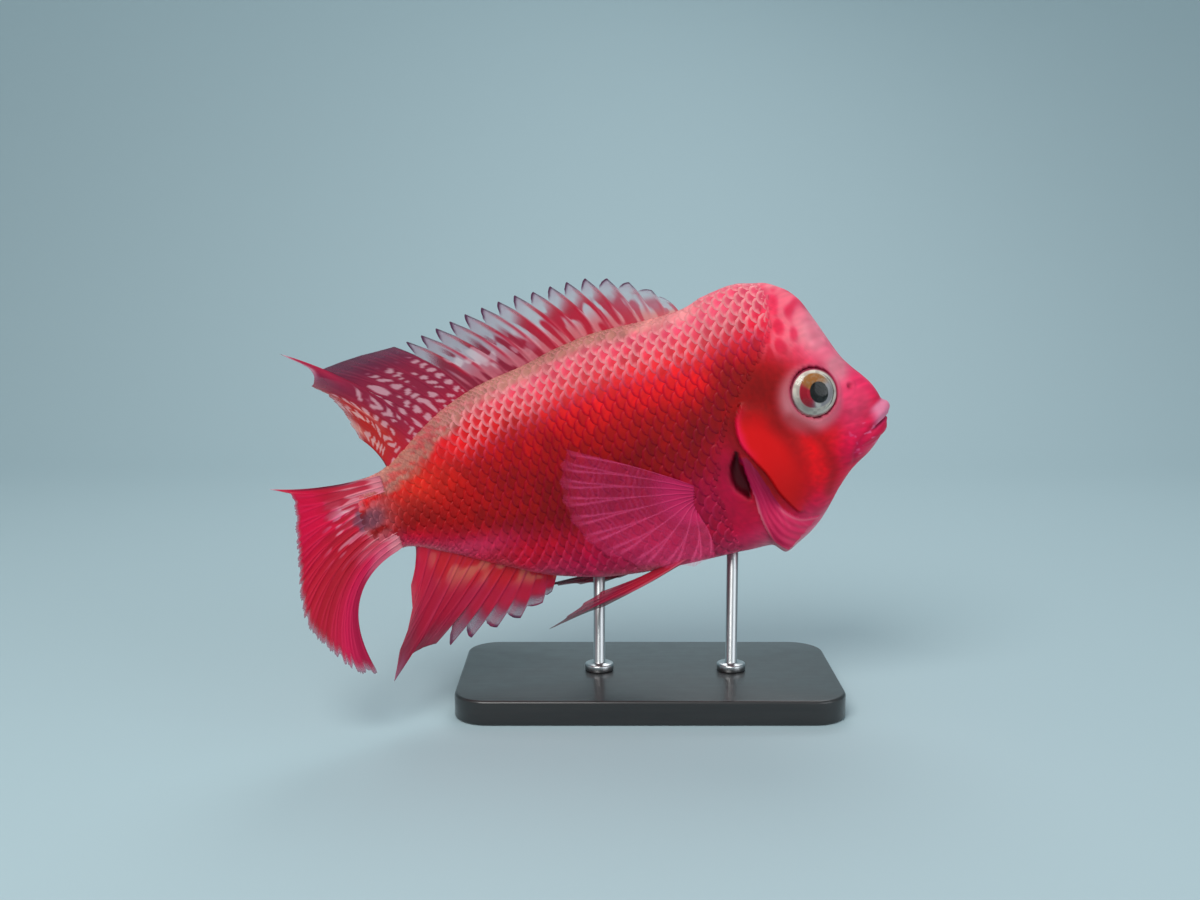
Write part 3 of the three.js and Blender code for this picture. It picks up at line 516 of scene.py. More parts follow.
BODY_RAMP = [(0, BELLY_PALE), (0.05, BELLY_PINK), (0.14, LOW_MAGENTA), (0.3, DEEP_RED), (0.52, DEEP_RED),
             (0.64, BLOOD_RED), (0.76, BRIGHT_RED), (0.87, CELL_RED), (0.95, HUMP_PINK), (1, NAPE_PINK)]
HEAD_START = 46
# How far the tan ridge of the back reaches down, at stations along u
RIDGE_STATIONS = [-88, -74, -50, -20, 30, 52]
RIDGE_WIDTHS = [7, 10.5, 6.5, 5.4, 4.6, 3]
# Soft patches of colour: u, v, reach along u, reach along v, colour and strength
BODY_PATCHES = [
    (-70, 8, 14, 12, ORANGE_RED, 0.85), (-56, 20, 16, 9, BRIGHT_RED, 0.75),
    (-30, 14, 26, 10, BLOOD_RED, 0.8), (-50, -6, 26, 13, BLOOD_RED, 0.7),
    (28, 22, 24, 9, BRIGHT_RED, 0.7), (5, -34, 30, 12, LOW_MAGENTA, 0.6),
    (40, -42, 14, 9, CHEST_RED, 0.8), (44, -50, 18, 5, BELLY_PINK, 0.5), (-62, -24, 16, 6, BELLY_PINK, 0.6),
    (-45, -32, 20, 7, BRIGHT_RED, 0.45), (34, -26, 14, 11, FLUSH_MAGENTA, 0.75),
    (48, -20, 7, 16, FLUSH_MAGENTA, 0.7),
]
HEAD_PATCHES = [
    (68, 46, 16, 11, HUMP_PINK, 0.95), (84, 38, 12, 12, HUMP_PINK, 0.9), (72, 30, 12, 10, HUMP_RED, 0.85),
    (84, 22, 9, 9, HUMP_PINK, 0.6), (96, 26, 8, 12, BROW_PALE, 0.8), (101, 9, 6, 8, BROW_PALE, 0.85),
    (62, 14, 15, 11, DEEP_RED, 0.95), (74, 4, 9, 9, DEEP_RED, 0.8), (64, -2, 6, 5, BLOOD_RED, 0.6),
    (106, -4, 9, 8, SNOUT_PINK, 0.75), (100, -14, 8, 8, SNOUT_PINK, 0.5),
    (94, -26, 13, 9, CHEEK_MAGENTA, 0.9), (84, -22, 9, 15, BRIGHT_RED, 0.85),
    (92, -14, 5, 6, BLOOD_RED, 0.4), (104, -26, 9, 6, CHEEK_MAGENTA, 0.8),
    (109, -27, 6, 4, NAPE_PINK, 0.5), (90, -41, 10, 4, CHEEK_MAGENTA, 0.6),
]


def patches(colour, u, v, spots):
    for at_u, at_v, reach_u, reach_v, tint, strength in spots:
        share = strength * np.exp(-(((u - at_u) / reach_u) ** 2 + ((v - at_v) / reach_v) ** 2))
        colour = mix(colour, tint, np.clip(share * 1.25, 0, strength))
    return colour


def markings(points):
    """The colours of the fish's skin and scales, from place alone."""
    u, v, s = np.moveaxis(points, -1, 0)
    depth = back(u) - v
    t = np.clip((v - belly(u)) / (back(u) - belly(u)), 0, 1)
    wander = noise(u * 0.11 + np.abs(s) * 0.12, v * 0.11 + 5) - 0.5
    body = patches(along_ramp(BODY_RAMP, t + 0.05 * wander), u, v, BODY_PATCHES)
    flushed = mix(body, CHEEK_MAGENTA, 0.75 * smooth(76, 96, u))
    head = smooth(48, 62, u + 0.25 * (v + 10))
    ridge_width = np.interp(u, RIDGE_STATIONS, RIDGE_WIDTHS)
    uneven = 3 * wander + 3.4 * (noise(u * 0.42, v * 0.6) - 0.5)
    ridge = smooth(ridge_width + 3.2, ridge_width - 2.4, depth + uneven) * smooth(56, 36, u)
    mottle = 0.35 * smooth(0.5, 0.7, noise(u * 0.55 + 11, v * 0.8)) * smooth(-20, -60, u)
    tan = mix(filled(RIDGE_TAN, u), NAPE_PINK, smooth(10, 44, u))
    tail = smooth(-80, -93, u) * smooth(0.3, 0.6, noise(u * 0.5, v * 0.4 + 3))
    away = np.hypot(u - TAIL_SPOT[0], v - TAIL_SPOT[1]) / TAIL_SPOT[2]
    colour = layered(
        body, (patches(flushed, u, v, HEAD_PATCHES), head), (tan, (0.88 - mottle) * ridge),
        (TAIL_PALE, 0.7 * tail), (TAIL_GREY, 0.8 * smooth(1.25, 0.6, away + 0.5 * wander)))
    grain = noise(u * 0.9 + s * 0.8, v * 0.9) - 0.5
    pure = colour + 0.12 * (colour - colour.mean(-1, keepdims=True))
    return pure * (0.97 + 0.14 * grain + 0.16 * wander)[..., None]


def net_strength(u, v):
    """How strongly the pale net shows over the scales, and its colour."""
    depth = back(u) - v
    strength = 0.42 + 0.56 * smooth(30, 12, depth)
    strength = np.maximum(strength, 0.5 * smooth(-22, -40, v) * smooth(-70, -20, u))
    strength *= 1 - 0.75 * smooth(-48, -66, u) * smooth(34, 20, v)
    strength *= smooth(-1, 4, scaled_to(v) - u)
    strength *= 1 - 0.35 * smooth(7, 3, depth) * smooth(46, 30, u)
    net = filled(NET_MAGENTA, u)
    return strength, layered(net, (NET_PALE, smooth(30, 15, depth)), (NET_LOW, smooth(-18, -36, v)))


def gill_colours(colour, u, v):
    g = gill_parts(u, v)
    across = g.front / np.maximum(g.front + g.rear, 1e-6)
    jag = 2.2 * noise(g.rear_along * 16, u * 0)
    edge = smooth(3.6 + jag, 0.6, g.rear) * smooth(0.56, 0.3, g.rear_along)
    plate = layered(
        filled(DEEP_RED, u), (HEAD.cover, smooth(0.05, 0.5, across)),
        (BLOOD_RED, 0.45 * smooth(-14, -40, v)), (HOT_PINK, 0.8 * edge))
    fade = smooth(0, 13, g.front) * smooth(0, 1.2, g.rear + 0.6)
    ribs = noise(g.flap * 1.1, g.flap_along * 3)
    # The membrane is darker above as painted shade under the gill cover, darkest just behind its rear edge
    sheet = layered(
        filled(MEMBRANE_SHADED_RED, u), (MEMBRANE_CLEAR, smooth(-26, -44, v)),
        (NET_PALE, 0.6 * smooth(1.3, 0.3, g.flap) * smooth(-20, -38, v)),
        (HEAD.shade, 0.75 * smooth(7, 1.5, g.rear) * smooth(-42, -34, v)),
        (NET_PALE, 0.5 * bell(g.fold, 1, 0.5) * smooth(-36, -41, v)),
        (NET_PALE, 0.12 * smooth(0.62, 0.9, ribs)), (GILL_SHADOW, 0.4 * smooth(1.8, 0.2, g.rear)))
    colour = np.where(g.cover[:, None], mix(colour, plate, fade), colour)
    colour = np.where(g.membrane[:, None], sheet, colour)
    # The gill slot is filled with painted shadow
    return np.where(g.slot[:, None], mix(colour, GILL_SHADOW, smooth(0, 1.5, g.outer)), colour)


def head_details(colour, points):
    """Gill parts, eye ring, lips and mouth, laid over the markings of the head, with painted shade in its
    creases and pits.
    """
    u, v, s = np.moveaxis(points, -1, 0)
    reach, turn = eye_reach(points)
    low_rear = 0.5 + 0.5 * np.cos(turn - math.radians(222))
    halo = smooth(12.2 + 8 * low_rear ** 1.2, 10.2 + 2 * low_rear, reach)
    lid = 0.55 + 0.45 * np.sin(turn)
    gap = mouth_gap(u, v)
    upper = smooth(5.2, 3.2, np.abs(gap - 3.4)) * smooth(108, 113, u)
    lower = smooth(2.8, 1.4, np.abs(gap + 2.6)) * smooth(104, 110, u)
    corner, _ = edge_distance(u, v, jaw_fold)
    nose = np.hypot(u - NOSTRIL_AT[0], v - NOSTRIL_AT[1])
    fold, _ = edge_distance(u, v, cheek_fold)
    bare = smooth(-3, 3, u - scaled_to(v)) * smooth(17, 27, v) * smooth(98, 88, u)
    row = (u + 0.25 * v + 0.7 * np.abs(s)) / 5.2 + 0.5 * noise(u * 0.2, v * 0.2)
    step = v / 8.5 + 0.5 * (np.floor(row) % 2) + 0.4 * noise(u * 0.25 + 7, v * 0.2)
    away = np.hypot(row % 1 - 0.5, 0.85 * (step % 1 - 0.5))
    fleck = smooth(0.8, 0.92, noise(u * 0.5, v * 0.9)) * smooth(96, 104, u) * smooth(-10, -18, v)
    return layered(
        gill_colours(colour, u, v),
        (RIM_GREY_PINK, 0.9 * halo * (0.3 + 0.7 * low_rear)),
        (HEAD.lid, (0.25 + 0.65 * lid) * smooth(11.2, 9.8, reach)),
        (LIP_LILAC, 0.75 * upper),
        (CHEEK_MAGENTA, 0.7 * lower),
        # Painted shade: a dark line along the mouth, and darker colour in the jaw crease and the nostril pit
        (HEAD.mouth, 0.75 * bell(gap, 0, 0.5) * smooth(108, 111, u)),
        (HEAD.jaw, 0.4 * bell(corner, 0, 1.1)),
        (HEAD.nostril, 0.7 * bell(nose, 0, 0.9)),
        # Painted shade in the cheek fold
        (DEEP_RED, 0.4 * bell(fold, 0, 2.4)),
        (NET_PALE, 0.42 * bare * smooth(0.3, 0.48, away)),
        (HEAD.cell, 0.55 * bare * smooth(0.36, 0.18, away)),
        (LIP_LILAC, 0.5 * fleck))


def fish_colours(points):
    """The markings, with the details of the head laid over them where the head is."""
    colour = markings(points)
    head = points[:, 0] > HEAD_START
    colour[head] = head_details(colour[head], points[head])
    return colour


# Meshes

def solid_mesh(name, spots, faces):
    """A mesh with its faces turned out."""
    faces = [np.asarray(group, int) for group in faces if len(group)]
    volume = 0.0
    for group in faces:
        a, b, c = spots[group[:, 0]], spots[group[:, 1]], spots[group[:, 2]]
        volume += np.einsum("ij,ij->", a, np.cross(b, c))
        if group.shape[1] == 4:
            d = spots[group[:, 3]]
            volume += np.einsum("ij,ij->", a, np.cross(c, d))
    if volume < 0:
        faces = [group[:, ::-1] for group in faces]
    mesh = bpy.data.meshes.new(name)
    mesh.from_pydata(spots.tolist(), [], [face for group in faces for face in group.tolist()])
    mesh.polygons.foreach_set("use_smooth", [True] * len(mesh.polygons))
    mesh.update()
    return mesh


def write(mesh, label, values):
    """Stores a number or a vector at each vertex."""
    kind, key = ("FLOAT_VECTOR", "vector") if np.ndim(values) == 2 else ("FLOAT", "value")
    values = np.asarray(values, np.float32).ravel()
    mesh.attributes.new(label, kind, "POINT").data.foreach_set(key, values)


def read(mesh, label, width=1):
    values = np.empty(len(mesh.vertices) * width, np.float32)
    mesh.attributes[label].data.foreach_get("value" if width == 1 else "vector", values)
    return values.reshape(-1, width).squeeze()


def paint(mesh, colour, clear=None):
    """Writes the tint of each vertex, and how solid it is."""
    tint = mesh.attributes.new("tint", "FLOAT_COLOR", "POINT")
    full = np.ones((len(mesh.vertices), 4), np.float32)
    full[:, :3] = linear(colour)
    tint.data.foreach_set("color", full.ravel())
    if clear is not None:
        write(mesh, "body", np.clip(clear, 0, 1))


def add_piece(name, mesh, material, nodes=()):
    piece = bpy.data.objects.new(name, mesh)
    bpy.context.scene.collection.objects.link(piece)
    mesh.materials.clear()
    mesh.materials.append(material)
    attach(piece, "root")
    if nodes:
        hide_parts(*nodes)
    return piece


def wired_node(tree, kind, inputs=None, **settings):
    """A node in a tree. Its inputs take sockets to link from, or plain values."""
    node = tree.nodes.new(kind)
    for key, value in settings.items():
        setattr(node, key, value)
    for key, value in (inputs or {}).items():
        if isinstance(value, bpy.types.NodeSocket):
            tree.links.new(value, node.inputs[key])
        else:
            node.inputs[key].default_value = value
    return node


def vertex_spots(mesh):
    spots = np.empty(len(mesh.vertices) * 3, np.float32)
    mesh.vertices.foreach_get("co", spots)
    return spots.reshape(-1, 3)


def tube_faces(rings, sides):
    """Quads of a stack of rings, and a fan at each end to the last two points."""
    i, k = np.meshgrid(np.arange(rings - 1) * sides, np.arange(sides), indexing="ij")
    n = (k + 1) % sides
    quads = np.stack([i + k, i + n, i + sides + n, i + sides + k], -1).reshape(-1, 4)
    k = np.arange(sides)
    n = (k + 1) % sides
    end = (rings - 1) * sides
    first = np.stack([np.full(sides, rings * sides), n, k], -1)
    last = np.stack([np.full(sides, rings * sides + 1), end + k, end + n], -1)
    return [quads, np.vstack([first, last])]


def plate_faces(rows, columns):
    """Quads of two like grids joined along their edge."""
    at = np.arange(rows * columns).reshape(rows, columns)
    far = at + rows * columns
    near = np.stack([at[:-1, :-1], at[1:, :-1], at[1:, 1:], at[:-1, 1:]], -1).reshape(-1, 4)
    rear = np.stack([far[:-1, :-1], far[:-1, 1:], far[1:, 1:], far[1:, :-1]], -1).reshape(-1, 4)
    edge = np.concatenate([at[0, :-1], at[:-1, -1], at[-1, :0:-1], at[:0:-1, 0]])
    after = np.roll(edge, -1)
    size = rows * columns
    rim = np.stack([edge, after, after + size, edge + size], -1)
    return [np.vstack([near, rear, rim])]


def turned_mesh(name, profile, sides, base, axis_z, axis_x):
    """A turned shape from [radius, height] points that start and end on the axis."""
    profile = np.array(profile, float)
    axis_y = np.cross(axis_z, axis_x)
    turn = np.arange(sides) / sides * 2 * math.pi
    ring = np.cos(turn)[:, None] * axis_x + np.sin(turn)[:, None] * axis_y
    rings = [base + r * ring + h * axis_z for r, h in profile[1:-1]]
    spots = np.vstack(rings + [base + profile[0, 1] * axis_z, base + profile[-1, 1] * axis_z])
    return solid_mesh(name, spots, tube_faces(len(rings), sides))


# Materials

class Finish:
    """A node material with one Principled shader."""

    def __init__(self, name, **sockets):
        self.material = bpy.data.materials.new(name)
        self.material.use_nodes = True
        self.tree = self.material.node_tree
        self.shader = self.tree.nodes["Principled BSDF"]
        for socket, value in sockets.items():
            self.shader.inputs[socket.replace("_", " ")].default_value = value

    def node(self, kind, inputs=None, **settings):
        return wired_node(self.tree, kind, inputs, **settings)

    def feed(self, socket, value):
        self.tree.links.new(value, self.shader.inputs[socket])

    def attribute(self, name, output, socket):
        self.feed(socket, self.node("ShaderNodeAttribute", attribute_name=name).outputs[output])

    def noise(self, scale, detail, stretch=None):
        at = self.node("ShaderNodeTexCoord").outputs["Object"]
        if stretch:
            at = self.node("ShaderNodeMapping", {"Vector": at, "Scale": stretch}).outputs[0]
        return self.node("ShaderNodeTexNoise", {"Vector": at, "Scale": scale, "Detail": detail}).outputs[0]

    def bump(self, height, strength, distance):
        inputs = {"Height": height, "Strength": strength, "Distance": distance}
        self.feed("Normal", self.node("ShaderNodeBump", inputs).outputs[0])

    def rough(self, value, low, high):
        inputs = {"Value": value, "To Min": low, "To Max": high}
        self.feed("Roughness", self.node("ShaderNodeMapRange", inputs).outputs[0])

    def ramp(self, value, dark, light):
        ramp = self.node("ShaderNodeValToRGB", {"Fac": value})
        ramp.color_ramp.elements[0].color = dark
        ramp.color_ramp.elements[1].color = light
        self.feed("Base Color", ramp.outputs["Color"])


def painted_finish(name, grain, sheen, **sockets):
    """A finish with its colour from the vertices. Grain and sheen start with a noise's scale and detail."""
    finish = Finish(name, **sockets)
    finish.attribute("tint", "Color", "Base Color")
    scale, detail, strength, distance = grain
    finish.bump(finish.noise(scale, detail), strength, distance)
    scale, detail, low, high = sheen
    finish.rough(finish.noise(scale, detail), low, high)
    return finish


def flesh_finish(name, coat):
    return painted_finish(
        name, (1400, 3, 0.2, 0.00015), (260, 2, 0.42, 0.58), Coat_Weight=coat, Coat_Roughness=0.3,
        Specular_IOR_Level=0.18, Subsurface_Weight=0.06, Subsurface_Radius=(0.003, 0.0008, 0.0008),
        Subsurface_Scale=0.4).material


def fin_finish(name):
    finish = painted_finish(name, (1800, 3, 0.2, 0.00015), (400, 2, 0.4, 0.58), Specular_IOR_Level=0.2)
    finish.attribute("body", "Fac", "Alpha")
    return finish.material


def eye_finish(name):
    return painted_finish(name, (2600, 4, 0.3, 0.0001), (900, 2, 0.4, 0.55),
                          Specular_IOR_Level=0.15).material


def cornea_finish(name):
    finish = Finish(name)
    clear = finish.node("ShaderNodeBsdfTransparent")
    gloss = finish.node("ShaderNodeBsdfGlossy", {"Roughness": 0.06, "Color": (0.5, 0.5, 0.5, 1)})
    facing = finish.node("ShaderNodeFresnel", {"IOR": 1.38})
    inputs = {0: facing.outputs[0], 1: clear.outputs[0], 2: gloss.outputs[0]}
    both = finish.node("ShaderNodeMixShader", inputs)
    finish.tree.links.new(both.outputs[0], finish.tree.nodes["Material Output"].inputs["Surface"])
    finish.tree.nodes.remove(finish.shader)
    return finish.material


def lacquer_finish():
    finish = Finish("satin_black_lacquer", Coat_Weight=0.4, Coat_Roughness=0.12)
    flow = finish.noise(30, 5, stretch=(1, 14, 14))
    finish.ramp(flow, (0.008, 0.008, 0.009, 1), (0.022, 0.02, 0.02, 1))
    finish.bump(flow, 0.12, 0.0004)
    finish.rough(finish.noise(120, 3), 0.3, 0.45)
    return finish.material


def steel_finish():
    finish = Finish("brushed_steel", Metallic=1.0)
    brushed = finish.noise(60, 2, stretch=(8, 8, 1))
    finish.ramp(brushed, (0.48, 0.49, 0.5, 1), (0.58, 0.59, 0.6, 1))
    finish.bump(brushed, 0.05, 0.0001)
    finish.rough(brushed, 0.26, 0.34)
    return finish.material


skin_paint = flesh_finish("fish_skin", 0.05)
scale_paint = flesh_finish("fish_scales", 0.06)
fin_paint = fin_finish("fin_membrane")

# The skin: one closed surface over the body, the head and the gill covers
SKIN_SIDES = 280
FACE_START = 54
CAP_BULGE = 1.1
BOWL_DEPTH = 8.4


def skin_grid():
    stations = np.concatenate([
        np.linspace(SKIN_END, TAIL_END, 9)[:-1], np.linspace(TAIL_END, FACE_START, 118)[:-1],
        np.linspace(FACE_START, SNOUT - 1.5, 158), np.linspace(SNOUT - 1.3, SNOUT, 8)])
    angles = np.arange(SKIN_SIDES) / SKIN_SIDES * 2 * math.pi
    u, angle = np.meshgrid(stations, angles, indexing="ij")
    points = flank_point(u, angle)
    normals = flank_normal(u, angle)
    middle = flank_point(np.full(SKIN_SIDES, SNOUT), angles)
    centre = middle.mean(0)
    caps = []
    cap_normals = []
    ahead = np.array([1.0, 0, 0])
    for share in np.linspace(0.93, 0.07, 13):
        ring = centre + (middle - centre) * share
        ring[:, 0] += CAP_BULGE * (1 - share ** 2)
        caps.append(ring)
        lean = normals[-1] * share ** 2 + ahead * (1.4 - share)
        cap_normals.append(lean / np.linalg.norm(lean, axis=1, keepdims=True))
    points = np.concatenate([points, np.array(caps)])
    normals = np.concatenate([normals, np.array(cap_normals)])
    flat_angle = np.concatenate([angle, np.repeat(angles[None], len(caps), 0)])
    return points, normals, flat_angle


def shaped_skin():
    points, normals, angle = skin_grid()
    shape = points.shape
    points = points.reshape(-1, 3)
    normals = normals.reshape(-1, 3)
    lift = relief(points, angle.ravel())
    mouth = points[:, 0] > LIPS_FROM
    lift[mouth] += lip_lift(points[mouth], normals[mouth])
    out = points + normals * lift[:, None]
    gap = mouth_gap(out[:, 0], out[:, 1])
    depth = (0.5 + 1.1 * smooth(109, 113, out[:, 0])) * smooth(108, 110, out[:, 0])
    out -= normals * (depth * bell(gap, 0, 0.5))[:, None]
    reach, _ = eye_reach(out)
    bowl = BOWL_DEPTH * np.sqrt(np.clip(1 - (reach / (SOCKET + 0.25)) ** 2, 0, 1)) ** 0.6
    inward = np.tile(EYE_AXIS, (len(out), 1))
    inward[:, 2] *= np.where(out[:, 2] < 0, -1, 1)
    out -= inward * bowl[:, None]
    return out, points, shape


skin_points, plain_points, grid_shape = shaped_skin()
skin_spots = place(skin_points)
rear_cap = skin_spots[:SKIN_SIDES].mean(0)
front_cap = skin_spots[-SKIN_SIDES:].mean(0)
skin_spots = np.vstack([skin_spots, rear_cap, front_cap])
skin_mesh = solid_mesh("skin", skin_spots, tube_faces(grid_shape[0], SKIN_SIDES))
skin_tint = fish_colours(plain_points)
skin_tint = np.vstack([skin_tint, skin_tint[:SKIN_SIDES].mean(0), skin_tint[-SKIN_SIDES:].mean(0)])
paint(skin_mesh, skin_tint)
FLESH_NODES = ["head", "nuchal_hump", "lower_jaw", "torso_front", "torso_rear", "caudal_peduncle",
               "gill_cover_right", "gill_cover_left", "gill_membrane_right", "gill_membrane_left"]
skin = add_piece("skin", skin_mesh, skin_paint, FLESH_NODES)

# Scales: rows of overlapping plates on the skin, each free at its rear edge
SCALE_PITCH = [[-94, 2.6], [-84, 3.1], [-60, 3.9], [-20, 4.6], [50, 4.7], [90, 4.3]]
ROW_PITCH = [[-94, 2.3], [-84, 2.7], [-60, 3.4], [-20, 4.0], [50, 4.0], [90, 3.7]]
SMALL_SHARE = 0.52
# How deep the small scales reach from the back's ridge, at stations along u
RIDGE_DEPTH = 7
RIDGE_SPREAD = [[-88, 1.5], [-70, 1.7], [-40, 1], [36, 0.9], [52, 0]]
ROWS_EACH_WAY = 60
# A scale's length and width in pitches, so that it overlaps its neighbours
SCALE_LENGTH = 1.02
SCALE_WIDTH = 2.12
LATERAL_ANGLE = math.radians(12)
# How far a lift of one raises a scale, in metres
LARGE_LIFT = 0.0006
SMALL_LIFT = 0.0004
BAKE_PATCH = 0.0024
BAKE_UNDERSIDE = 0.0034
FIRST_COLUMN = 92.0
LAST_COLUMN = -93
# A scale's reach ahead of its root and behind it, in column pitches
SCALE_FRONT = 0.66
SCALE_REAR = 0.52


def scale_edge(b):
    """How far a scale's rear edge reaches, at a place across it from -1 to 1."""
    return SCALE_REAR * np.clip(1 - np.abs(b) ** 2.3, 0, 1) ** 0.62


def scale_template(name, along, across):
    """One scale, flat and one unit long: its height over the skin is kept as lift."""
    a, b = np.meshgrid(np.linspace(0, 1, along + 1), np.linspace(-1, 1, across + 1), indexing="ij")
    x = -SCALE_FRONT + a * (SCALE_FRONT + scale_edge(b))
    y = 0.5 * b * (1 - 0.12 * (1 - a) ** 2)
    flat = np.stack([x, y, 0 * x], -1).reshape(-1, 3)
    slope = (x + SCALE_FRONT) / (SCALE_FRONT + SCALE_REAR)
    crown = 0.06 * (1 - b ** 2)
    lift = (-0.2 + 0.46 * slope + crown - 0.07 * smooth(0.85, 1, a)).ravel()
    thin = (0.13 - 0.05 * a).ravel()
    mesh = solid_mesh(name, np.vstack([flat + [0, 0, 1], flat]), plate_faces(along + 1, across + 1))
    write(mesh, "lift", np.concatenate([lift, lift - thin]))
    under = np.concatenate([np.zeros(len(flat)), np.ones(len(flat))])
    write(mesh, "grain", np.stack([np.tile(x.ravel(), 2), np.tile(y.ravel(), 2), under], -1))
    for vertex in mesh.vertices:
        vertex.co.z = 0
    return bpy.data.objects.new(name, mesh)


def arc_table():
    """For stations along the body: the way round the flank from the lateral line, by angle."""
    stations = np.arange(SKIN_END, 96, 1.0)
    angles = np.linspace(-math.pi / 2, math.pi / 2, 361)
    u, angle = np.meshgrid(stations, angles, indexing="ij")
    ring = flank_point(u, angle)
    run = np.concatenate([np.zeros((len(stations), 1)),
                          np.cumsum(np.linalg.norm(np.diff(ring, axis=1), axis=2), 1)], 1)
    start = np.array([np.interp(LATERAL_ANGLE, angles, row) for row in run])
    return stations, angles, run, start


STATIONS, ARC_ANGLES, ARC_RUN, ARC_START = arc_table()


def round_the_flank(u, arc):
    """The angle at a way round from the lateral line, the way left to the back and to the belly."""
    k = int(np.clip(round(u - STATIONS[0]), 0, len(STATIONS) - 1))
    run = ARC_RUN[k]
    at = ARC_START[k] + arc
    return np.interp(at, run, ARC_ANGLES), run[-1] - at, at, at / run[-1]


def columns(pitch, share):
    """Stations of the scale columns, with a pitch that shrinks towards the tail."""
    at = FIRST_COLUMN
    found = []
    while at > LAST_COLUMN:
        found.append(at)
        at -= float(pitch(np.array(at))) * share
    return found


def seed_places(small, share):
    """Each scale's station, angle, lift and part of the way round from the belly to the back."""
    row_pitch = smooth_line(ROW_PITCH)
    spread_at, spread = np.transpose(RIDGE_SPREAD)
    places = []
    for column, at in enumerate(columns(smooth_line(SCALE_PITCH), share / 2)):
        row_step = float(row_pitch(np.array(at))) * share
        for row in range(-ROWS_EACH_WAY, ROWS_EACH_WAY + 1):
            if (row + column) % 2:
                continue
            u = at + draw.normal(0, 0.1)
            angle, to_back, to_belly, part = round_the_flank(u, row * row_step + draw.normal(0, 0.08))
            spot = flank_point(np.array(u), np.array(angle))
            ridge = RIDGE_DEPTH * np.interp(u, spread_at, spread)
            edge = scaled_to(np.array(spot[1])) - u
            fine = to_back < ridge or to_belly < 7 or edge < 2.6
            if to_back < 0.5 or to_belly < 0.5 or edge < 0 or fine != small:
                continue
            places.append((u, angle, smooth(-1, 7, edge) * 0.85 + 0.15, part))
    return np.array(places).T


def scale_seeds(side, small):
    share = SMALL_SHARE if small else 1
    u, angle, press, part = seed_places(small, share)
    spots = flank_point(u, angle)
    ahead = flank_point(u - 1, angle)
    outer = spots + flank_normal(u, angle)
    for group in (spots, ahead, outer):
        group[:, 2] *= side
    on = place(spots)
    length = smooth_line(SCALE_PITCH)(u) * share * SCALE_LENGTH / 1000
    width = smooth_line(ROW_PITCH)(u) * share * SCALE_WIDTH / 1000
    size = np.stack([length, width, 1 + 0 * u], -1) * draw.normal(1, 0.025, (len(u), 1))
    across = 0.02 + 0.47 * part
    along = 0.02 + 0.94 * (u - SKIN_END) / (SNOUT - SKIN_END)
    root = np.stack([along, across if side > 0 else 1 - across], -1)
    return SimpleNamespace(on=on, lie=place(ahead) - on, out=place(outer) - on, size=size, press=press,
                           root=root, shade=draw.random(len(u)))


def seed_object(name, seeds):
    mesh = bpy.data.meshes.new(name)
    mesh.from_pydata(seeds.on.tolist(), [], [])
    write(mesh, "lie", seeds.lie)
    write(mesh, "out", seeds.out)
    write(mesh, "size", seeds.size)
    write(mesh, "press", seeds.press)
    write(mesh, "seed", np.arange(len(seeds.on)))
    thing = bpy.data.objects.new(name, mesh)
    bpy.context.scene.collection.objects.link(thing)
    return thing


def coat_tree():
    """Sets one scale on each seed, lays it on the skin and raises it by its lift."""
    tree = bpy.data.node_groups.new("scale_coat", "GeometryNodeTree")
    face = tree.interface
    face.new_socket("Coat", in_out="OUTPUT", socket_type="NodeSocketGeometry")
    for label, kind in (("Seeds", "Geometry"), ("Scale", "Object"), ("Skin", "Object"), ("Lift", "Float"),
                        ("Finish", "Material")):
        face.new_socket(label, in_out="INPUT", socket_type="NodeSocket" + kind)

    def node(kind, inputs=None, **settings):
        return wired_node(tree, kind, inputs, **settings).outputs

    def named(label, kind):
        return node("GeometryNodeInputNamedAttribute", {"Name": label}, data_type=kind)["Attribute"]

    def nearest(value):
        inputs = {"Mesh": bed, "Value": value, "Sample Position": position}
        return node("GeometryNodeSampleNearestSurface", inputs, data_type="FLOAT_VECTOR")[0]

    def product(first, second):
        return node("ShaderNodeMath", {0: first, 1: second}, operation="MULTIPLY")[0]

    given = node("NodeGroupInput")
    scale = node("GeometryNodeObjectInfo", {"Object": given["Scale"]})["Geometry"]
    bed = node("GeometryNodeObjectInfo", {"Object": given["Skin"]})["Geometry"]
    lie = {"Primary Axis": named("out", "FLOAT_VECTOR"), "Secondary Axis": named("lie", "FLOAT_VECTOR")}
    turn = node("FunctionNodeAxesToRotation", lie, primary_axis="Z", secondary_axis="X")[0]
    copies = node("GeometryNodeInstanceOnPoints", {
        "Points": given["Seeds"], "Instance": scale, "Rotation": turn,
        "Scale": named("size", "FLOAT_VECTOR")})[0]
    real = node("GeometryNodeRealizeInstances", {"Geometry": copies})[0]
    position = node("GeometryNodeInputPosition")[0]
    on = nearest(position)
    out = nearest(node("GeometryNodeInputNormal")[0])
    height = product(named("lift", "FLOAT"), product(named("press", "FLOAT"), given["Lift"]))
    raised = node("ShaderNodeVectorMath", {0: out, "Scale": height}, operation="SCALE")[0]
    laid = node("ShaderNodeVectorMath", {0: on, 1: raised}, operation="ADD")[0]
    moved = node("GeometryNodeSetPosition", {"Geometry": real, "Position": laid})[0]
    done = node("GeometryNodeSetMaterial", {"Geometry": moved, "Material": given["Finish"]})[0]
    node("NodeGroupOutput", {"Coat": done})
    return tree


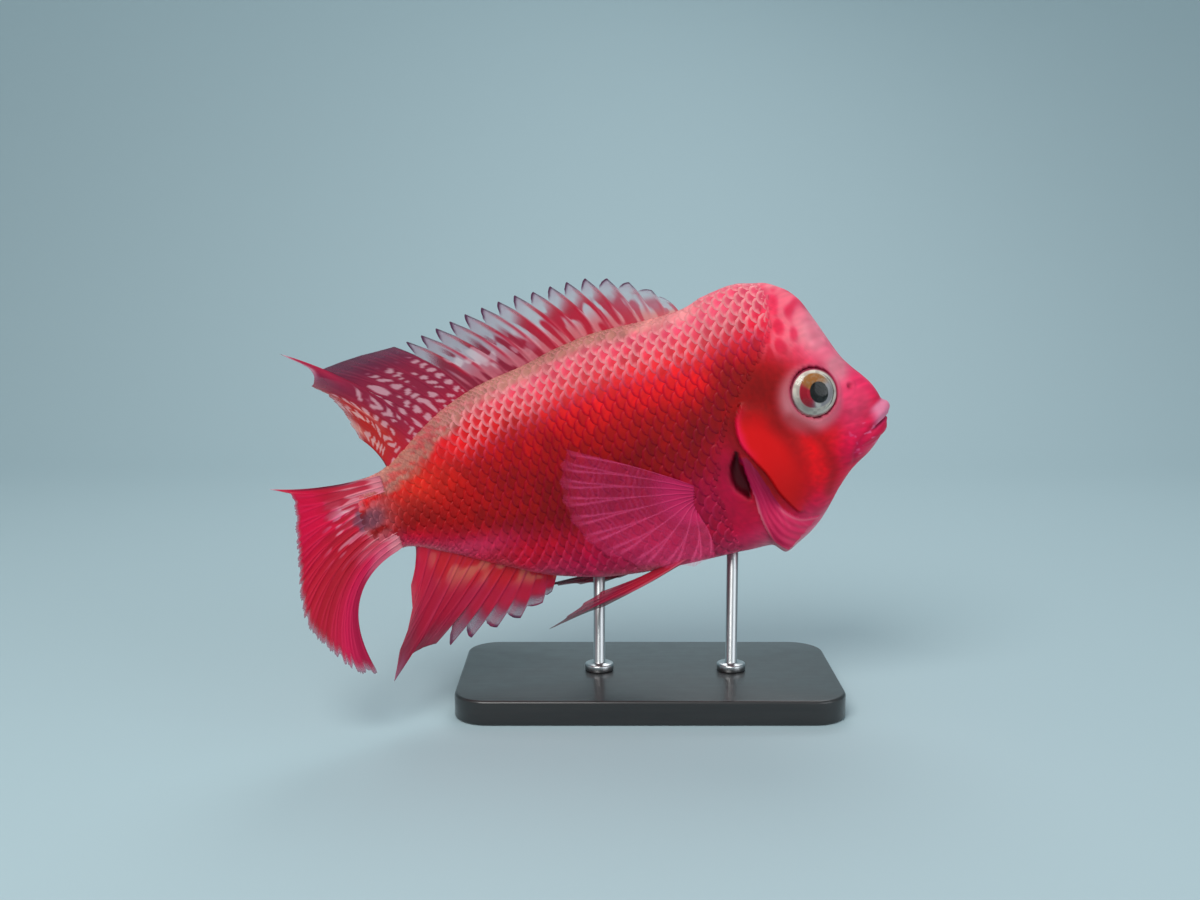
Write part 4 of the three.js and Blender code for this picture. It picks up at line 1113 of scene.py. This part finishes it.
def scale_colours(points, grain, shade):
    """The markings, with a cell of deeper colour in each scale and a pale rim round it."""
    u, v, _ = np.moveaxis(points, -1, 0)
    colour = fish_colours(points)
    strength, net = net_strength(u, v)
    x, y = grain[:, 0], grain[:, 1]
    wide = 0.1 * smooth(34, 14, back(u) - v)
    rim = smooth(0.24 + wide, 0.06 + wide, scale_edge(2 * y) - x)
    side = smooth(0.3 - wide, 0.46 - 0.6 * wide, np.abs(y))
    pale = np.clip(np.maximum(rim, side * smooth(-0.1, 0.1, x)), 0, 1)
    cell = colour * (0.9 + 0.14 * shade)[:, None]
    return mix(cell, net, np.clip(pale * strength, 0, 1))


def unwrap(mesh, grain, root):
    """Each scale is a small patch at its root's place on the unrolled skin."""
    spot = root + grain[:, :2] * BAKE_PATCH
    spot[:, 0] += BAKE_UNDERSIDE * grain[:, 2]
    layer = mesh.uv_layers.new(name="OFBake")
    corner = np.empty(len(mesh.loops), int)
    mesh.loops.foreach_get("vertex_index", corner)
    layer.data.foreach_set("uv", spot[corner].ravel())


def grow_coat(name, side, small, template, tree, lift):
    seeds = scale_seeds(side, small)
    holder = seed_object(name + "_seeds", seeds)
    coat = holder.modifiers.new("coat", "NODES")
    coat.node_group = tree
    values = {"Scale": template, "Skin": skin, "Lift": lift, "Finish": scale_paint}
    for socket in tree.interface.items_tree:
        if socket.in_out == "INPUT" and socket.name in values:
            coat[socket.identifier] = values[socket.name]
    bpy.context.view_layer.update()
    ready = holder.evaluated_get(bpy.context.evaluated_depsgraph_get())
    mesh = bpy.data.meshes.new_from_object(ready)
    bpy.data.objects.remove(holder)
    seed = read(mesh, "seed").round().astype(int)
    grain = read(mesh, "grain", 3)
    paint(mesh, scale_colours(unplace(vertex_spots(mesh)), grain, seeds.shade[seed]))
    unwrap(mesh, grain, seeds.root[seed])
    mesh.polygons.foreach_set("use_smooth", [True] * len(mesh.polygons))
    mesh.name = name
    return add_piece(name, mesh, scale_paint)


large_scale = scale_template("large_scale", 4, 6)
small_scale = scale_template("small_scale", 3, 4)
coat = coat_tree()
for side_name, side in SIDES.items():
    grow_coat("scales_" + side_name, side, False, large_scale, coat, LARGE_LIFT)
    grow_coat("small_scales_" + side_name, side, True, small_scale, coat, SMALL_LIFT)

# Fins: a thin web with rays raised in it, from base to margin
FIN_COLUMNS = 14
WEB_HALF = 0.11
ROOT_HALF = 1.0
RIDGE_HALF = 0.42
# How deep the roots of the middle fins and of the paired fins are set in the flesh
MIDDLE_SINK = 1.2
PAIRED_SINK = 0.6
DORSAL_NOTCH = 0.27
ANAL_NOTCH = 0.26


def middle_points(flat):
    flat = np.array(flat, float)
    return np.concatenate([flat, np.zeros((len(flat), 1))], 1)


def bowed(bases, tips, amount):
    chord = tips - bases
    across = np.stack([-chord[:, 1], chord[:, 0], 0 * chord[:, 0]], -1)
    return (bases + tips) / 2 + across * np.asarray(amount).reshape(-1, 1)


def along_rays(values, p):
    i = np.clip(p.astype(int), 0, len(values) - 2)
    share = (p - i)[:, None]
    return values[i] * (1 - share) + values[i + 1] * share


def branches(p, r, first, second, width):
    """How much of a ray there is: one stem that parts in two, and in two again."""
    d = np.abs(p - np.round(p))
    d = np.abs(d - 0.17 * smooth(first, first + 0.5, r))
    d = np.abs(d - 0.075 * smooth(second, second + 0.3, r))
    return np.exp(-(d / width) ** 2)


def add_fin(piece, node, bases, bows, tips, rows, reach, ridge, colour, wave=None, root=ROOT_HALF, fade=6,
            side=1):
    """Grows a web between rays counted by p. Along them r runs from the base, 0, to the margin, 1."""
    count = (len(tips) - 1) * FIN_COLUMNS + 1
    p = np.linspace(0, len(tips) - 1, count)
    r = np.linspace(-0.05, 1, rows)
    base, bow, tip = (along_rays(values, p)[:, None] for values in (bases, bows, tips))
    grid_p, grid_r = np.meshgrid(p, r, indexing="ij")
    b = (grid_r * reach(p)[:, None])[..., None]
    points = (1 - b) ** 2 * base + 2 * b * (1 - b) * bow + b ** 2 * tip
    if wave:
        points[..., 2] += wave(grid_p, grid_r)
    raised = ridge(grid_p, np.clip(grid_r, 0, 1))
    swell = (root - WEB_HALF) * np.clip(1 - grid_r, 0, 1) ** fade
    half = WEB_HALF * (1 - 0.4 * grid_r) + swell + RIDGE_HALF * (1 - 0.7 * np.clip(grid_r, 0, 1)) * raised
    tint, body = colour(grid_p, grid_r, points[..., 0], points[..., 1], raised)
    points[..., 2] *= side
    spots = place(points)
    normal = np.cross(np.gradient(spots, axis=0), np.gradient(spots, axis=1))
    normal /= np.maximum(np.linalg.norm(normal, axis=2, keepdims=True), 1e-12)
    offset = normal * half[..., None] / 1000
    both = np.concatenate([(spots + offset).reshape(-1, 3), (spots - offset).reshape(-1, 3)])
    mesh = solid_mesh(piece.replace("_web", ""), both, plate_faces(count, len(r)))
    paint(mesh, np.tile(tint.reshape(-1, 3), (2, 1)), np.tile(body.ravel(), 2))
    add_piece(piece, mesh, fin_paint, [node])


def base_row(line, ends, count, offset):
    u = np.linspace(ends[0], ends[1], count)
    return middle_points(np.stack([u, line(u) + offset], -1))


def lappets(notch, spines):
    """Web that hangs broad behind each spine's tip and is cut back before the next one."""
    def reach(p):
        share = p - np.floor(p)
        fringe = 0.02 * (noise(p * 7, p * 0) - 0.5)
        return np.where(p < spines, 1 - notch * share ** 1.3 + fringe * share, 1)
    return reach


def scallops(depth):
    return lambda p: 1 - depth * np.sin(math.pi * (p % 1))


def ripple(height, pace, start=0):
    return lambda p, r: height * r * r * np.sin(p * pace + start)


def spiny_colour(p, r, u, v, ridge):
    share = p - np.floor(p)
    front = smooth(6, 0.5, p)
    rear = smooth(8, 13, p)
    slant = noise(p * 3.1 - r * 1.4, r * 2.6 + p * 0.35)
    blotch = smooth(0.4, 0.6, slant) * smooth(0.84, 0.55, r)
    low = layered(filled(SPINY.low, p), (SPINY.low_front, 0.8 * front), (SPINY.low_rear, 0.5 * rear))
    dark = mix(filled(SPINY.blotch, p), SPINY.blotch_rear, rear)
    streak = (1 - 0.7 * front) * bell(share, 0.1, 0.12) * smooth(0.95, 0.75, r) * smooth(0.1, 0.3, r)
    spots = smooth(0.6, 0.72, noise(p * 2.2 + 9, r * 8)) * rear * smooth(0.08, 0.2, r)
    crest = smooth(0.94, 0.985, r) * smooth(0.95, 0.5, share)
    ink = np.maximum(crest, smooth(0.14, 0.02, share) * smooth(0.74, 0.9, r))
    colour = layered(
        filled(SPINY.web, p), (SPINY.web_rear, 0.4 * rear),
        (low, smooth(0.6 - 0.2 * front, 0.1, r)),
        (dark, 0.9 * blotch * (1 - 0.55 * front)), (SPINY.streak, 0.75 * streak),
        (SPINY.spot, 0.6 * spots * smooth(0.75, 0.5, r)),
        (SPINY.crest, 0.45 * smooth(0.75, 0.95, r) * (1 - share)), (INK_PURPLE, 0.9 * ink),
        (SPINY.spine, 0.35 * ridge * smooth(0.7, 0.3, r)))
    body = 0.95 - 0.42 * smooth(0.42, 0.78, r) * (1 - crest) - 0.1 * front
    return colour, np.maximum(body, 0.9 * ridge)


def soft_colour(p, r, u, v, ridge):
    share = p - np.floor(p)
    rear = smooth(6.4, 8.4, p)
    warp = 1.1 * noise(p * 1.1 + 3, r * 5) + 0.35 * noise(p * 4, r * 9 + 6)
    beads = bell(share, 0.5, 0.34) * bell((r * 9 + 1.4 * warp + 0.5 * np.floor(p)) % 1, 0.5, 0.3)
    beads *= smooth(0.25, 0.5, noise(p * 1.7 + 5, r * 6 + 2)) * smooth(0.86, 0.6, r * (1 - 0.3 * rear))
    streak = smooth(0.6, 0.8, noise(p * 4, r * 3)) * rear * smooth(0.2, 0.5, r)
    colour = layered(
        filled(SOFT.web, p), (SOFT.margin, smooth(0.55, 0.95, r) * (1 - rear)), (SOFT.rear, 0.8 * rear),
        (SOFT.root, 0.6 * smooth(0.3, 0, r)), (SOFT.bead, 0.75 * smooth(0.2, 0.5, beads)),
        (SOFT.streak, 0.7 * streak),
        (SOFT.filament, 0.85 * bell(p, FILAMENT, 0.45) * smooth(0.6, 0.85, r)),
        (SOFT.tip, bell(p, FILAMENT, 0.5) * smooth(0.94, 1, r)),
        (INK_PURPLE, 0.7 * smooth(0.965, 0.99, r) * smooth(5.2, 4.4, p)), (SOFT.ray, 0.3 * ridge))
    body = 0.97 - 0.25 * smooth(0.6, 1, r) - 0.35 * rear * smooth(0.8, 1, r)
    return colour, np.maximum(body, 0.92 * ridge)


def anal_colour(p, r, u, v, ridge):
    spiny = smooth(ANAL_SPINES + 0.5, ANAL_SPINES - 1.5, p)
    rear = smooth(10.4, 12.8, p)
    crest = smooth(0.93, 0.98, r) * smooth(0.97, 0.5, p - np.floor(p)) * spiny
    colour = layered(
        filled(ANAL.root, p), (ANAL.coral, 0.7 * smooth(0.42, 0.66, noise(p * 1.3, r * 6))),
        (ANAL.web, smooth(0.12, 0.42, r)),
        (ANAL.margin, smooth(0.55, 0.9, r) * (0.5 + 0.5 * spiny) * (1 - rear)),
        (ANAL.lappet, 0.7 * spiny * smooth(0.62, 0.86, r)), (INK_PURPLE, 0.85 * crest),
        (ANAL.rear, 0.75 * rear), (ANAL.tip, 0.7 * bell(p, 9, 0.5) * smooth(0.82, 0.97, r)),
        (ANAL.ray, 0.4 * ridge), (ANAL.streak, 0.4 * smooth(0.55, 0.8, noise(p * 3, r * 2.4))))
    body = 0.97 - (0.2 + 0.3 * spiny) * smooth(0.55, 0.95, r) * (1 - crest)
    return colour, np.maximum(body, 0.95 * ridge)


def caudal_colour(p, r, u, v, ridge):
    t = p / (CAUDAL_RAYS - 1)
    uneven = 0.5 * (noise(p * 0.9 + 4, r * 4) - 0.5) + 0.16 * (noise(p * 6, r * 7 + 3) - 0.5)
    pale = smooth(0.62, 0.3, r * (1 + 1.1 * t) + uneven + 0.35 * smooth(0.5, 0.9, t))
    low = smooth(0.34, 0.12, r + 0.5 * uneven) * smooth(0.55, 0.85, t)
    cells = noise(p * 1.5 + 2, r * 8) * 0.6 + 0.4 * bell(p - np.floor(p), 0.5, 0.3)
    speckle = smooth(0.44, 0.58, cells) * smooth(0.75, 0.45, r) * smooth(0.02, 0.1, r)
    drops = smooth(0.6, 0.74, noise(p * 2.4, r * 7 + 4)) * bell(r, 0.36, 0.22) * smooth(0.8, 0.45, t)
    spread = np.hypot(u - TAIL_SPOT[0], (v - TAIL_SPOT[1]) * 0.9) / TAIL_SPOT[2]
    spot = smooth(1.3, 0.5, spread + 1.1 * (noise(u * 0.6, v * 0.35) - 0.5))
    colour = layered(
        along_ramp(CAUDAL_RAMP, t), (CAUDAL.pale, 0.82 * np.maximum(pale, 0.6 * low)),
        (CAUDAL.speckle, 0.8 * speckle * smooth(0.9, 0.6, t)),
        (CAUDAL.drop, 0.65 * drops * smooth(0.12, 0.3, t)), (CAUDAL.spot, 0.7 * spot),
        (CAUDAL.top, 0.8 * smooth(0.5, 0.1, p) * smooth(0.1, 0.3, r)),
        (CAUDAL.filament, 0.85 * smooth(1.6, 0.3, p) * smooth(0.72, 0.86, r)),
        (CAUDAL.ray, 0.35 * ridge * smooth(0.4, 0.7, r)),
        (CAUDAL.fringe, 0.6 * smooth(0.94, 1, r) * smooth(0.6, 1.6, p)),
        (CAUDAL.tip, 0.8 * smooth(0.6, 0.1, p) * smooth(0.96, 1, r)))
    body = 0.98 - 0.5 * smooth(0.9, 1, r) * smooth(0.04, 0.14, t)
    return colour, np.maximum(body, (0.95 - 0.35 * smooth(0.92, 1, r)) * ridge)


def pectoral_colour(p, r, u, v, ridge):
    flesh = smooth(0.34, 0.08, r)
    bars = bell((r * 26) % 1, 0.5, 0.2) * smooth(0.2, 0.36, r) * smooth(1, 0.86, r)
    colour = layered(
        filled(PECTORAL.web, p), (PECTORAL.flesh, flesh),
        (PECTORAL.ray, 0.75 * ridge * (1 - 0.4 * flesh)), (PECTORAL.bar, 0.5 * bars))
    body = (0.13 + 0.72 * flesh + 0.1 * bars) * smooth(1.25, 0.7, r)
    return colour, np.maximum(body, (0.52 + 0.4 * flesh) * smooth(1.25, 0.65, r) * ridge)


def pelvic_colour(p, r, u, v, ridge):
    colour = layered(
        filled(PELVIC.root, p), (PELVIC.web, smooth(0.3, 0.7, r)),
        (PELVIC.dark, 0.9 * smooth(0.62, 0.85, r) * smooth(3.4, 0.6, p)),
        (PELVIC.front, 0.6 * smooth(0.5, 0.2, p) * smooth(0.9, 0.5, r)), (PELVIC.ray, 0.35 * ridge))
    body = 0.94 - 0.3 * smooth(0.5, 1, r)
    return colour, np.maximum(body, 0.95 * ridge)


def spine_ridge(p, r):
    return np.exp(-((p - np.round(p)) / 0.09) ** 2) * (1 - 0.3 * r)


def soft_ridge(p, r):
    return 0.8 * branches(p, r, 0.35, 0.68, 0.05 + 0.035 * (1 - r))


def anal_ridge(p, r):
    return np.where(p < ANAL_SPINES + 0.5, spine_ridge(p, r), soft_ridge(p, r))


def soft_reach(p):
    """Full length at the filament, with a cut on each side of it and a frayed rear."""
    near = np.abs(p - FILAMENT)
    cut = 0.16 * (1 - np.exp(-(near / 0.13) ** 2)) * smooth(1.6, 0.4, near)
    fray = 0.05 * noise(p * 9, p * 0) * smooth(6.5, 8, p)
    return 1 - cut - fray


def caudal_reach(p):
    comb = branches(p, np.ones_like(p), 0.35, 0.68, 0.06)
    fringe = smooth(0.6, 2, p)
    return 1 - fringe * (0.03 * (1 - comb) + 0.035 * noise(p * 6, p * 0))


def add_dorsal_fins():
    bases = base_row(back, SPINE_BASE, SPINES, -MIDDLE_SINK)
    tips = middle_points(SPINE_TIPS)
    add_fin("dorsal_spiny_web", "dorsal_fin_spiny", bases, bowed(bases, tips, DORSAL_BOW), tips, 46,
            lappets(DORSAL_NOTCH, SPINES - 1), spine_ridge, spiny_colour)
    bases = base_row(back, (SPINE_BASE[1], SOFT_BASE[1]), len(SOFT_TIPS), -MIDDLE_SINK)
    tips = middle_points([SPINE_TIPS[-1]] + SOFT_TIPS[1:])
    add_fin("dorsal_soft_web", "dorsal_fin_soft", bases, bowed(bases, tips, DORSAL_BOW), tips, 54,
            soft_reach, soft_ridge, soft_colour, ripple(1.4, 0.9))


def add_anal_fin():
    bases = base_row(belly, ANAL_BASE, len(ANAL_TIPS), MIDDLE_SINK)
    tips = middle_points(ANAL_TIPS)
    add_fin("anal_web", "anal_fin", bases, bowed(bases, tips, 0.06), tips, 50,
            lappets(ANAL_NOTCH, ANAL_SPINES), anal_ridge, anal_colour, ripple(1.2, 0.8))


def add_caudal_fin():
    tips = middle_points(rounded(CAUDAL_MARGIN, CAUDAL_RAYS))
    t = np.linspace(0, 1, CAUDAL_RAYS)
    top_u, top_v, low_v = CAUDAL_BASE
    bases = middle_points(np.stack([0 * t + top_u + 1, top_v + (low_v - top_v) * t], -1))
    rise = 0.18 * (tips[:, 1] - bases[:, 1])
    bows = middle_points(np.stack([top_u - 16 - 6 * t, bases[:, 1] + rise], -1))
    add_fin("caudal_web", "caudal_fin", bases, bows, tips, 62, caudal_reach, soft_ridge, caudal_colour,
            ripple(2, 0.55, 0.6), root=4.0, fade=5)


def add_pectoral_fin(side_name, side):
    row = rounded(PECTORAL_BASE, len(PECTORAL_TIPS))
    angle = angle_at(row[:, 0], row[:, 1])
    bases = lifted(row[:, 0], angle, np.full(len(row), -PAIRED_SINK))
    stand = lifted(row[:, 0], angle, np.full(len(row), 1.6))[:, 2]
    tips = middle_points(PECTORAL_TIPS)
    tips[:, 2] = stand + PECTORAL_STAND
    share = np.arange(len(tips)) / (len(tips) - 1)
    bows = bowed(bases, tips, PECTORAL_BOW[0] + (PECTORAL_BOW[1] - PECTORAL_BOW[0]) * share ** 2)
    bows[:, 2] = stand + PECTORAL_STAND * 0.55
    add_fin("pectoral_web_" + side_name, "pectoral_fin_" + side_name, bases, bows, tips, 52,
            scallops(0.03), soft_ridge, pectoral_colour, fade=9, side=side)


def add_pelvic_fin(side_name, side):
    tips = np.array(PELVIC_TIPS[side], float)
    t = np.linspace(0, 1, len(tips))
    (front_u, front_angle), (rear_u, rear_angle) = PELVIC_BASE
    angle = np.radians(front_angle + (rear_angle - front_angle) * t)
    bases = lifted(front_u + (rear_u - front_u) * t, angle, np.full(len(t), -PAIRED_SINK))
    add_fin("pelvic_web_" + side_name, "pelvic_fin_" + side_name, bases, bowed(bases, tips, 0.04), tips, 50,
            scallops(0.05), soft_ridge, pelvic_colour, fade=9, side=side)


add_dorsal_fins()
add_anal_fin()
add_caudal_fin()
for side_name, side in SIDES.items():
    add_pectoral_fin(side_name, side)
    add_pelvic_fin(side_name, side)

# Eyes
PUPIL = {"u": 1.7, "v": -0.4, "radius": 3.9}
IRIS_PROFILE = [[0.4, 0.9], [2, 0.9], [3.2, 0.95], [3.8, 1.15], [4.6, 1.3], [6, 1.3], [7.4, 1.15],
                [8.4, 0.85], [9.1, 0.35], [9.5, -0.4], [9.6, -1.6], [8.8, -4.4], [5.6, -7.0], [0, -7.8]]
CORNEA_PROFILE = [[0, 3.5], [1, 3.46], [2.2, 3.3], [3.6, 3], [5, 2.6], [6.4, 2.1], [7.6, 1.6], [8.6, 1.05],
                  [9.2, 0.5], [9.3, 0.1], [8.9, 0.1], [8.3, 0.75], [7.4, 1.3], [6.2, 1.8], [4.8, 2.3],
                  [3.4, 2.7], [2, 3], [1, 3.12], [0, 3.16]]


def eye_axes(side):
    centre = EYE_CENTRE.copy()
    tip = EYE_CENTRE + EYE_AXIS
    ahead = EYE_CENTRE + [1, 0, 0]
    for point in (centre, tip, ahead):
        point[2] *= side
    base = place(centre)
    axis_z = place(tip) - base
    axis_z /= np.linalg.norm(axis_z)
    axis_x = place(ahead) - base
    axis_x -= axis_z * (axis_x @ axis_z)
    return base, axis_z, axis_x / np.linalg.norm(axis_x)


def iris_colour(x, y):
    """Colours of the eye from places on its face: x forward, y up, in mm."""
    reach = np.hypot(x, y)
    turn = np.arctan2(y, x)
    pupil = np.hypot((x - PUPIL["u"]) * 1.06, (y - PUPIL["v"]) * 0.92)
    tarnish = 0.6 * smooth(0.4, 0.8, noise(turn * 5 + 20, reach))
    silver = mix(filled(EYE.silver, x), EYE.tarnish, tarnish)
    rear = smooth(0.2, 0.8, -np.cos(turn - math.radians(8)))
    top = smooth(0.35, 0.85, np.sin(turn + math.radians(6)))
    mottle = 0.7 + 0.3 * smooth(0.3, 0.7, noise(x * 1.4 + 7, y * 1.4))
    low_rear = 0.5 - 0.5 * np.cos(turn - math.radians(48))
    ring = smooth(7.1 - 1.2 * low_rear, 7.7 - 1.2 * low_rear, reach + 0.3 * np.sin(turn * 3))
    glint = np.hypot(x - 0.2, (y + 4.9) * 0.9)
    return layered(
        filled(EYE.front, x), (EYE.rear, rear * smooth(7.0, 6.2, reach)), (EYE.top, top * mottle),
        # A painted highlight below the pupil
        (silver, ring), (EYE.glint, 0.9 * smooth(1.7, 0.7, glint)),
        (EYE.edge, smooth(8.6, 9.2, reach) * (0.6 + 0.4 * np.sin(turn))),
        (EYE.pupil, smooth(PUPIL["radius"] + 0.12, PUPIL["radius"] - 0.12, pupil)))


def add_eye(side_name, side):
    base, axis_z, axis_x = eye_axes(side)
    fine = np.linspace(0, len(IRIS_PROFILE) - 1, 64)
    knots = np.arange(len(IRIS_PROFILE))
    profile = np.stack([np.interp(fine, knots, column) for column in np.array(IRIS_PROFILE).T], -1)
    profile = np.vstack([[0, 0.9], profile]) / 1000
    mesh = turned_mesh("iris_" + side_name, profile, 120, base, axis_z, axis_x)
    away = (vertex_spots(mesh) - base) * 1000
    axis_y = np.cross(axis_z, axis_x)
    up = 1 if axis_y[2] > 0 else -1
    paint(mesh, iris_colour(away @ axis_x, away @ axis_y * up))
    add_piece("eye_ball_" + side_name, mesh, ball_paint, ["eye_" + side_name])
    cornea = turned_mesh("cornea_" + side_name, np.array(CORNEA_PROFILE) / 1000, 96, base, axis_z, axis_x)
    add_piece("cornea_" + side_name, cornea, cornea_paint)


ball_paint = eye_finish("eye_ball")
cornea_paint = cornea_finish("clear_cornea")
for side_name, side in SIDES.items():
    add_eye(side_name, side)

# Stand
BASE = {"length": 156, "width": 84, "height": 10, "corner": 14, "edge": 1.2}
ROD = {"radius": 2.4, "collar": 6, "collar_height": 3, "stations": {"front": 42, "rear": -14}, "sunk": 8.6}


def rounded_rectangle(length, width, corner, steps=14):
    spots = []
    for turn, sx, sy in ((0, 1, 1), (90, -1, 1), (180, -1, -1), (270, 1, -1)):
        for k in range(steps + 1):
            angle = math.radians(turn + 90 * k / steps)
            spots.append([sx * (length / 2 - corner) + corner * math.cos(angle),
                          sy * (width / 2 - corner) + corner * math.sin(angle)])
    return np.array(spots)


def add_base(material):
    edge, height = BASE["edge"], BASE["height"]
    turns = np.linspace(0, math.pi / 2, 7)
    levels = [(edge * (1 - math.sin(turn)), edge * (1 - math.cos(turn))) for turn in turns]
    rings = []
    for inset, up in levels + [(inset, height - up) for inset, up in reversed(levels)]:
        outline = rounded_rectangle(BASE["length"] - 2 * inset, BASE["width"] - 2 * inset,
                                    BASE["corner"] - inset)
        rings.append(np.column_stack([outline, np.full(len(outline), up)]))
    spots = np.vstack(rings + [[0, 0, 0], [0, 0, height]]) / 1000
    mesh = solid_mesh("display_base", spots, tube_faces(len(rings), len(rings[0])))
    add_piece("display_base", mesh, material, ["stand_base"])


def add_rod(name, u, material):
    foot = place([u, float(belly(np.array(u))), 0]) * 1000
    top = foot[2] + ROD["sunk"]
    low = BASE["height"] + 0.05
    radius, collar, rise = ROD["radius"], ROD["collar"], ROD["collar_height"]
    profile = [[0, low], [collar - 0.3, low], [collar, low + 0.3], [collar, low + rise - 0.7],
               [collar - 0.2, low + rise - 0.25], [collar - 0.7, low + rise], [radius + 0.5, low + rise],
               [radius, low + rise + 0.5], [radius, top - 0.4], [radius - 0.4, top], [0, top]]
    base = np.array([foot[0], foot[1], 0]) / 1000
    mesh = turned_mesh("rod_" + name, np.array(profile) / 1000, 48, base, np.array([0, 0, 1.0]),
                       np.array([1.0, 0, 0]))
    add_piece("steel_rod_" + name, mesh, material, ["stand_rod_" + name])


add_base(lacquer_finish())
steel = steel_finish()
for rod_name, rod_u in ROD["stations"].items():
    add_rod(rod_name, rod_u, steel)

# Studio: a pale floor that rises into a backdrop, soft lights and the camera
CAMERA = {"target": (-0.020, 0, 0.103), "distance": 0.55, "down": math.radians(8), "lens": 40.2}
BACKDROP = {"half_width": 4.0, "front": -4.0, "wall": 1.1, "top": 2.6, "bend": 0.5,
            "colour": (0.42, 0.54, 0.58, 1)}
ROOM_LIGHT = {"colour": (0.78, 0.92, 0.98, 1), "strength": 0.42}
LAMPS = {
    "key": {"at": (-0.35, -0.75, 0.95), "aim": (0, 0, 0.1), "size": 0.7, "energy": 9,
            "colour": (1, 0.98, 0.95)},
    "fill": {"at": (0.8, -0.7, 0.45), "aim": (0, 0, 0.1), "size": 0.9, "energy": 3,
             "colour": (0.92, 0.96, 1)},
    "rim": {"at": (0.1, 0.7, 0.9), "aim": (0, 0, 0.12), "size": 0.7, "energy": 3.5, "colour": (1, 1, 1)},
}


def add_floor():
    finish = Finish("pale_backdrop", Roughness=0.8)
    finish.shader.inputs["Base Color"].default_value = BACKDROP["colour"]
    turn = np.linspace(0, math.pi / 2, 20)
    bend, wall, half = BACKDROP["bend"], BACKDROP["wall"], BACKDROP["half_width"]
    y = np.concatenate([[BACKDROP["front"]], wall - bend + bend * np.sin(turn), [wall]])
    z = np.concatenate([[0], bend - bend * np.cos(turn), [BACKDROP["top"]]])
    spots = np.array([[x, y[k], z[k]] for k in range(len(y)) for x in (-half, half)])
    faces = [(2 * k, 2 * k + 1, 2 * k + 3, 2 * k + 2) for k in range(len(y) - 1)]
    mesh = bpy.data.meshes.new("backdrop")
    mesh.from_pydata(spots.tolist(), [], faces)
    mesh.polygons.foreach_set("use_smooth", [True] * len(faces))
    mesh.materials.append(finish.material)
    floor = bpy.data.objects.new("backdrop", mesh)
    bpy.context.scene.collection.objects.link(floor)


def add_light(name, lamp):
    light = bpy.data.lights.new(name, "AREA")
    light.shape = "DISK"
    light.size = lamp["size"]
    light.energy = lamp["energy"]
    light.color = lamp["colour"]
    thing = bpy.data.objects.new(name, light)
    bpy.context.scene.collection.objects.link(thing)
    thing.location = lamp["at"]
    look = np.array(lamp["aim"]) - np.array(lamp["at"])
    thing.rotation_euler = Vector(look).to_track_quat("-Z", "Y").to_euler()


def add_camera():
    data = bpy.data.cameras.new("camera")
    data.lens = CAMERA["lens"]
    data.clip_start = 0.01
    camera = bpy.data.objects.new("camera", data)
    bpy.context.scene.collection.objects.link(camera)
    down = CAMERA["down"]
    target = Vector(CAMERA["target"])
    away = Vector((0, -math.cos(down), math.sin(down))) * CAMERA["distance"]
    camera.location = target + away
    camera.rotation_euler = (-away).to_track_quat("-Z", "Y").to_euler()
    bpy.context.scene.camera = camera


def add_world():
    world = bpy.data.worlds.new("soft_room")
    world.use_nodes = True
    room = world.node_tree.nodes["Background"].inputs
    room["Color"].default_value = ROOM_LIGHT["colour"]
    room["Strength"].default_value = ROOM_LIGHT["strength"]
    bpy.context.scene.world = world
    bpy.context.scene.view_settings.view_transform = "Standard"


add_floor()
for lamp_name, lamp in LAMPS.items():
    add_light(lamp_name, lamp)
add_camera()
add_world()
